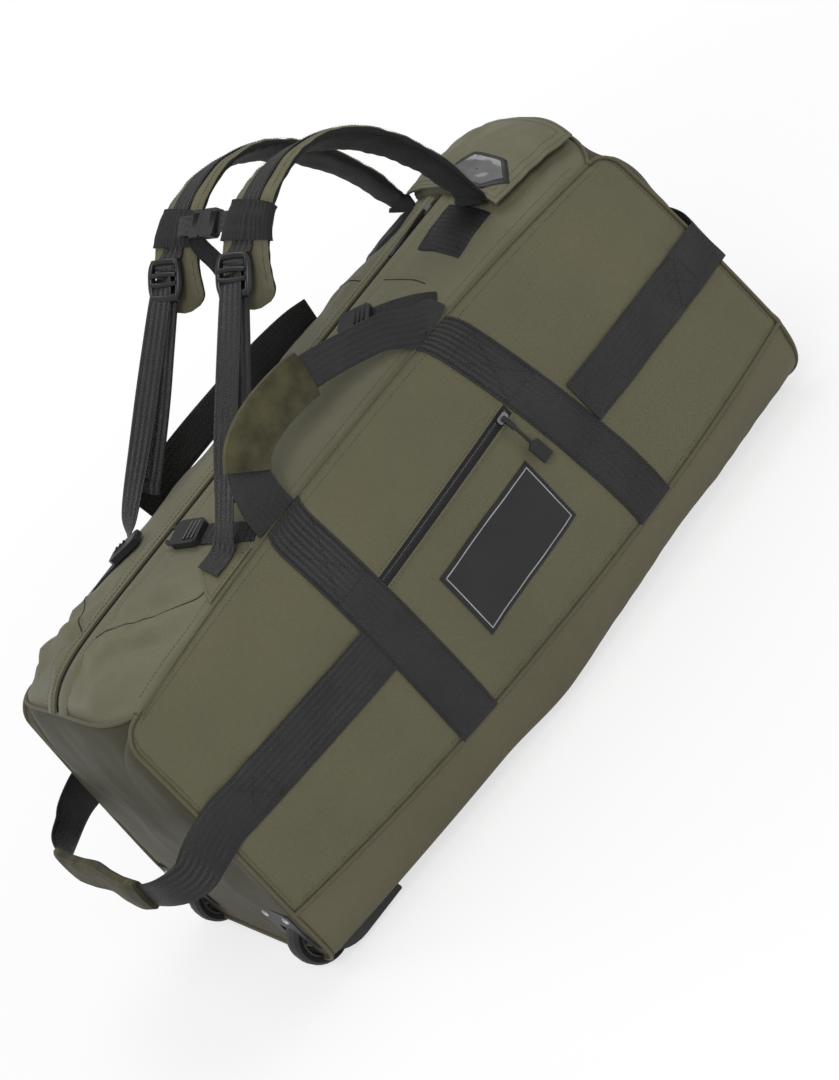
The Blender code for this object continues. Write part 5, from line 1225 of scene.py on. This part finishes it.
def blank_patch():
    x, v = patch_grid(0, 1, 0, 1, 40, 24)
    skin("blank_patch", *on_side(NEAR, x, v, 0.0026 - 0.0009 * rim_mask(40, 24)), "patch", thick=0.0018,
         replaces=("side_patch",))
    along, up = 0.030, 0.055
    wide_s, wide_t = 0.0010 / 0.148, 0.0010 / 0.076
    strips = ((along, 1 - along, up, up + wide_t), (along, 1 - along, 1 - up - wide_t, 1 - up),
              (along, along + wide_s, up, 1 - up), (1 - along - wide_s, 1 - along, up, 1 - up))
    for k, (x0, x1, t0, t1) in enumerate(strips):
        x, v = patch_grid(x0, x1, t0, t1, 36 if k < 2 else 2, 2 if k < 2 else 22)
        skin("patch_line_%d" % k, *on_side(NEAR, x, v, 0.0029), "line", thick=0.0006)
    cut = np.array([(PATCH_X[0] + 0.002, PATCH_LOW[0] + 0.002), (PATCH_X[1] - 0.002, PATCH_LOW[1] + 0.002),
                    (PATCH_X[1] - 0.002, PATCH_HIGH[1] - 0.002), (PATCH_X[0] + 0.002, PATCH_HIGH[0] - 0.002)])
    side_stitch(NEAR, [tuple(p) for p in cut] + [tuple(cut[0])], 0.0026)


blank_patch()


# ---- pocket zip -------------------------------------------------------------------------------------------
def zip_teeth(points, normals, body=BAG):
    stitch(points, normals, "teeth", body=body, pitch=0.0021, long=0.0014, wide=0.0021, high=0.0010)


def side_zip():
    s = np.linspace(0, 1, 60)
    x = POCKET_ZIP[0] - 0.004 + (POCKET_ZIP[1] - POCKET_ZIP[0] + 0.008) * s
    z = np.interp(x, POCKET_ZIP, POCKET_ZIP_Z)
    c = np.linspace(-1, 1, 7)
    tape_x, c = grid(x, c)
    tape_v = side_v(tape_x, z[:, None] + 0.0065 * c)
    skin("side_zip_tape", *on_side(NEAR, tape_x, tape_v, 0.0012 - 0.0005 * (np.abs(c) > 0.99)), "zip_tape",
         thick=0.0012, replaces=("pocket_zip",))
    points, normals = on_side(NEAR, x, side_v(x, z), 0.0011)
    zip_teeth(points[1:-1], normals[1:-1])
    for off in (-1, 1):
        lip_x, c = grid(x, np.linspace(0, 1, 5))
        lip_v = side_v(lip_x, z[:, None] + off * (0.0058 + 0.0052 * c))
        points, normals = on_side(NEAR, lip_x, lip_v, 0.0017 - 0.0010 * (c > 0.9))
        skin("side_zip_lip_" + ("low" if off < 0 else "high"), points, normals, "side", thick=0.0014)
        side_stitch(NEAR, [(x[0], z[0] + off * 0.0085), (x[-1], z[-1] + off * 0.0085)], 0.0018, "thread")


side_zip()


# ---- main zip and storm flap --------------------------------------------------------------------------------
ZIP_START, ZIP_STOP, FLAP_STOP = -0.3885, 0.3885, 0.262


def lid_strip(name, x, y0, y1, outs, mat, thick=0.0012, **how):
    """Long strip on the lid between two distances from the middle, with a height for each column."""
    along, c = grid(x, np.linspace(0, 1, len(outs)))
    return skin(name, *on_lid(along, y0 + (y1 - y0) * c, np.array(outs)[None]), mat, thick=thick, **how)


def top_zip():
    x = np.linspace(ZIP_START, ZIP_STOP, 140)
    lid_strip("main_zip_tape", x, -0.0125, 0.0020, [-0.0006, -0.0002, 0, -0.0002, -0.0006], "zip_tape",
              replaces=("main_zip",))
    points, normals = on_lid(x[1:-1], -0.0053 + 0 * x[1:-1], 0.0002)
    zip_teeth(points, normals)
    lid_strip("zip_lip_near", x, -0.0230, -0.0092, [0.0008, 0.0018, 0.0026, 0.0032, 0.0026], "lid", thick=0.0022)
    x = np.linspace(ZIP_START, FLAP_STOP, 130)
    lid_strip("storm_flap_cover", x, 0.0002, 0.0190, [0.0030, 0.0046, 0.0044, 0.0036, 0.0026, 0.0012], "lid",
              thick=0.0024, replaces=("storm_flap",))
    for y, out in ((-0.0195, 0.0016), (0.0150, 0.0030), (0.0035, 0.0046)):
        stitch(*on_lid(x, y + 0 * x, out), "thread")


top_zip()


# ---- lid pocket and its flap ----------------------------------------------------------------------------------
POCKET_X, FLAP_X = (0.268, 0.376), (0.264, 0.381)
POCKET_Y, FLAP_Y = (-0.082, 0.046), (-0.088, 0.052)


def patchwork(xs, ys, across, up):
    """Grid over a rectangle on the lid, from shares of its length and its width."""
    return grid(xs[0] + (xs[1] - xs[0]) * across, ys[0] + (ys[1] - ys[0]) * up)


def flap_height(x, y):
    """How high the flap lies over the lid: it sags at its loose edge."""
    loose = 1 - (y - FLAP_Y[0]) / (FLAP_Y[1] - FLAP_Y[0])
    return 0.0160 - 0.0022 * ease((loose - 0.80) / 0.2) + 0.0010 * waves(x, y, 303, 0.05) * loose


WINDOW_MIDDLE = (0.291, -0.0485)
WINDOW_CORNERS = [(0.291, -0.012), (0.312, -0.030), (0.312, -0.068), (0.291, -0.085), (0.270, -0.068),
                  (0.270, -0.030)]


def window_ring(grow, out):
    """The window's outline on the flap, made larger by a factor about its middle."""
    line = smooth_line([(x, y, 0.0) for x, y in WINDOW_CORNERS + WINDOW_CORNERS[:1]], step=0.004)[:-1, :2]
    x, y = (np.array(WINDOW_MIDDLE) + (line - WINDOW_MIDDLE) * grow).T
    return on_lid(x, y, flap_height(x, y) + out)[0]


def window_part(name, mat, rings):
    """A closed ring-shaped piece of the flap's window, from its section as factors and heights."""
    rings = [window_ring(*ring) for ring in rings]
    n, last = len(rings[0]), (len(rings) - 1) * len(rings[0])
    faces = grid_faces(len(rings), n, close=True)
    faces += [(last + j, last + (j + 1) % n, (j + 1) % n, j) for j in range(n)]
    fix_normals(make(name, np.vstack(rings), faces, mat, body="pocket_flap", sharp=60))


def lid_pocket():
    share = spaced(26, (0.004, 0.012, 0.025))
    x, y = patchwork(POCKET_X, POCKET_Y, share, share)
    near = np.minimum(np.minimum(x - POCKET_X[0], POCKET_X[1] - x), np.minimum(y - POCKET_Y[0], POCKET_Y[1] - y))
    rise = np.sqrt(np.clip(1 - (1 - np.minimum(near / 0.005, 1)) ** 2, 0, 1))
    skin("lid_pocket_skin", *on_lid(x, y, 0.0008 + 0.0118 * rise), "lid", thick=0.0010, replaces=("lid_pocket",),
         sharp=70)
    seam_y = POCKET_Y[0] + 0.004
    lid_stitch([(POCKET_X[0] + 0.004, seam_y), (POCKET_X[1] - 0.004, seam_y)], "thread", 0.0122)

    x, y = patchwork(FLAP_X, FLAP_Y, np.linspace(0, 1, 40), np.linspace(0, 1, 44))
    skin("pocket_flap_skin", *on_lid(x, y, flap_height(x, y) - 0.0006 * rim_mask(*x.shape)), "lid", thick=0.0022,
         body="pocket_flap", replaces=("lid_pocket_flap",))
    for gap in (0.0035, 0.0095):
        left, right, low, high = FLAP_X[0] + gap, FLAP_X[1] - gap, FLAP_Y[0] + gap, FLAP_Y[1] - 0.004
        line = smooth_line([(left, high, 0.0), (left, low, 0.0), (right, low, 0.0), (right, high, 0.0)])
        x, y = line[:, 0], line[:, 1]
        stitch(*on_lid(x, y, flap_height(x, y) + 0.0001), "thread", body="pocket_flap")
    window_part("window_frame", "patch", ((1.0, -0.0004), (0.99, 0.0010), (0.96, 0.0017), (0.84, 0.0018),
                                          (0.80, 0.0012), (0.79, -0.0004)))
    shares = (0.80, 0.60, 0.40, 0.20, 0.04)
    window_part("window_film", "window", [(g, 0.0008 + 0.0005 * math.sin(9 * g)) for g in shares]
                + [(g, 0.0001) for g in shares[::-1]])


lid_pocket()


# ---- seams across the lid, their dark cords painted crease shade --------------------------------------------------
LID_SEAMS = (("wheel_near", ((-0.317, -0.024), (-0.286, -0.062), (-0.255, -0.101), (-0.239, -0.106))),
             ("wheel_far", ((-0.317, 0.020), (-0.286, 0.058), (-0.255, 0.100), (-0.239, 0.105))),
             ("pull_near", ((0.147, -0.024), (0.150, -0.046), (0.152, -0.064), (0.153, -0.080))),
             ("pull_far", ((0.147, 0.020), (0.152, 0.056), (0.153, 0.088), (0.150, 0.111))))
for seam_name, seam_points in LID_SEAMS:
    seam_line = smooth_path([(x, y, 0.0) for x, y in seam_points], 60)
    seam_at, seam_normal = on_lid(seam_line[:, 0], seam_line[:, 1], 0.0004)
    # The seam is real; its cord is near black as painted shade in the crease.
    tube("lid_seam_" + seam_name, seam_at, 0.0008, "seam")
    stitch(*on_lid(seam_line[:, 0] + 0.0045, seam_line[:, 1], 0.0004), "thread")


# ---- sternum strap --------------------------------------------------------------------------------------------
def sternum():
    socket, plug = middle_of("sternum_socket"), middle_of("sternum_plug")
    path, tangent, _, through = PADS["near"][:4]
    k = int(np.argmin(np.abs(path[:, 0] - socket[0]) + 9 * (path[:, 2] < 0.5)))
    out, along = through[k], tangent[k]
    for tag, body, reach in (("near", socket, -0.0560), ("far", plug, 0.0560)):
        start = np.array((body[0], -0.021 if tag == "near" else 0.019, body[2]))
        end = np.array((body[0], reach, body[2])) + out * 0.0010
        mid = (start * 0.4 + end * 0.6) + out * 0.0012
        ribbon("sternum_web_" + tag, [start, start * 0.8 + end * 0.2, mid, end], along, 0.020, 0.0018, "web", steps=36,
               columns=8, replaces=("sternum_strap_" + tag,))
    start = np.array((plug[0], 0.026, plug[2])) - out * 0.002
    fall = [start, start + (-0.004, 0.007, -0.006), start + (-0.006, 0.009, -0.022), start + (-0.004, 0.009, -0.045),
            start + (-0.006, 0.010, -0.068), start + (-0.005, 0.011, -0.082)]
    ribbon("sternum_tail", fall, along, 0.019, 0.0018, "web", steps=40, columns=7)
    for tag, sides in (("socket", (-0.0262, 0.0)), ("plug", (0.0035, 0.0245))):
        for rib in range(4):
            y = sides[0] + 0.004 + rib * 0.0024 if tag == "socket" else sides[1] - 0.004 - rib * 0.0024
            spots = [np.array((socket[0], y, socket[2])) + along * s + out * 0.0045
                     for s in np.linspace(-0.0105, 0.0105, 7)]
            tube("sternum_rib_%s_%d" % (tag, rib), spots, 0.0007, "plastic", count=6)


sternum()


# ---- ladder locks ------------------------------------------------------------------------------------------------
def lock_part(name, spots, radius, flat, out, **how):
    """Rounded bar through spots: radius is half its width and flat half its height along out."""
    tangent = unit(np.gradient(np.array(spots), axis=0))
    count = 14
    q = np.linspace(0, 2 * math.pi, count, endpoint=False)[:, None]
    rings = [spot + unit(np.cross(t, out)) * (shaped(np.cos(q), 0.8) * r) + out * (shaped(np.sin(q), 0.8) * flat)
             for spot, t, r in zip(spots, tangent, np.broadcast_to(radius, len(spots)))]
    faces = grid_faces(len(spots), count, close=True) + caps(len(spots), count)
    fix_normals(make(name, np.array(rings).reshape(-1, 3), faces, "plastic", sharp=50, **how))


def ladder_lock(tag):
    middle = middle_of("ladder_lock_" + tag)
    path, tangent, side = PADS[tag][:3]
    k = int(np.argmin(np.linalg.norm(path - middle, axis=1)))
    foot = np.array((-0.198, middle[1], 0.385))
    across = side[k]
    way = unit(unit(tangent[k]) * 0.38 + unit((foot - middle) * (1, 0, 1)) * 0.62)
    way = unit(way - across * np.dot(way, across))
    out = np.cross(across, way)
    middle = middle + out * 0.0015
    for flip, word in ((-1, "a"), (1, "b")):
        t = np.linspace(-1, 1, 15)
        spots = [middle + across * flip * (0.0172 - 0.0038 * q ** 4) + way * 0.0195 * q + out * 0.0014 * (1 - q * q)
                 for q in t]
        how = {"replaces": ("ladder_lock_" + tag,)} if flip < 0 else {}
        lock_part("lock_rail_%s_%s" % (word, tag), spots, 0.0031 - 0.0006 * t ** 2, 0.0042, out, **how)
    for word, place, radius, rise in (("top", -0.0172, 0.0034, 0.0006), ("grip", -0.0040, 0.0027, 0.0042),
                                      ("mid", 0.0040, 0.0026, 0.0038), ("end", 0.0172, 0.0040, 0.0008)):
        y = np.linspace(-0.0160, 0.0160, 33)
        spots = [middle + across * q + way * (place + 0.0012 * np.sign(place) * (1 - (q / 0.016) ** 2)) + out * rise
                 for q in y]
        ribs = 1 - 0.13 * (np.arange(33) % 2) * (word in ("grip", "mid"))
        lock_part("lock_%s_%s" % (word, tag), spots, radius * ribs, radius * 0.95, out)


ladder_lock("near")
ladder_lock("far")


# ---- compression straps ------------------------------------------------------------------------------------------
BUCKLE_L = 0.036


def compression(tag, anchor, tip, male):
    anchor, tip = np.array(anchor), np.array(tip)
    length = np.linalg.norm(tip - anchor)
    along = (tip - anchor) / length
    aside = np.array((-along[1], along[0]))
    body = "strap_" + tag
    s = np.linspace(-0.02, (length - BUCKLE_L + 0.006) / length, 26)[:, None]
    c = np.linspace(-0.5, 0.5, 9)[None]
    spot = anchor + (tip - anchor) * s[..., None] + aside * (c * WEB_NARROW)[..., None]
    edge = np.abs(c) > 0.49
    out = 0.0026 + 0.0016 * ease(s) - 0.0005 * edge
    skin("compression_web_" + tag, *on_lid(spot[..., 0], spot[..., 1], out), "web", thick=0.0016, body=body,
         replaces=("compression_strap_" + tag,))
    sewn = anchor[None] + along * 0.006 + aside * (np.linspace(-0.45, 0.45, 8)[:, None] * WEB_NARROW)
    stitch(*on_lid(sewn[:, 0], sewn[:, 1], 0.0030), "thread_black", body=body)
    ex = unit(lid_at(*tip) - lid_at(*(tip - along * BUCKLE_L)))
    ez = unit(np.cross(ex, unit(lid_at(*(tip + aside * 0.01)) - lid_at(*(tip - aside * 0.01)))))
    ez = ez if ez[2] > 0 else -ez
    ey = np.cross(ez, ex)
    base = lid_at(*(tip - along * BUCKLE_L)) + ez * 0.0034
    for k in range(3):
        spots = [base + ex * (0.006 + 0.0052 * k) + ey * q + ez * 0.0070 for q in np.linspace(-0.0115, 0.0115, 9)]
        tube("buckle_rib_%s_%d" % (tag, k), spots, 0.0011, "plastic", count=6, body=body)
    if male:
        for flip, word in ((-1, "left"), (1, "right")):
            prong = [base + ex * ahead + ey * flip * aside_by + ez * 0.0035
                     for ahead, aside_by in ((0.030, 0.0095), (0.037, 0.0105), (0.0425, 0.0085))]
            tube("buckle_prong_%s_%s" % (tag, word), smooth_path(prong, 12), 0.0026, "plastic", body=body)
    else:
        outline = [(0.0305, -0.0105), (0.0375, -0.0090), (0.0375, 0.0090), (0.0305, 0.0105)]
        plate("buckle_mouth_" + tag, base, (ex, ey, ez), outline, 0.0012, 0.0062, "plastic", body=body)


for strap_facts in STRAPS:
    compression(*strap_facts)


# ---- end of the script ------------------------------------------------------------------------------------
for (thread, thread_body), (stitch_verts, stitch_faces) in STITCHES.items():
    make("stitches_%s_%s" % (thread, thread_body), stitch_verts, stitch_faces, thread, body=thread_body, smooth=False)

# Looks of the solids that no piece of the scene stands for, by the start of their names.
CAD_LOOKS = {"main_zip_slider": "grey", "main_zip_pull": "plastic", "tyre": "rubber", "hub": "hub", "axle": "steel",
             "housing_screw": "steel", "wheel_housing": "housing", "foot": "housing", "base_board": "board",
             "ladder_lock": "plastic", "sternum_": "plastic", "compression_buckle": "plastic",
             "pocket_zip_slider": "grey", "pocket_zip_pull": "plastic"}
for node_name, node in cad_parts.items():
    for prefix, look in CAD_LOOKS.items():
        if node_name.startswith(prefix):
            for entry in node.material_slots:
                entry.material = M[look]
            if look != "board":
                soften(node, 0.0007, 35)
            break
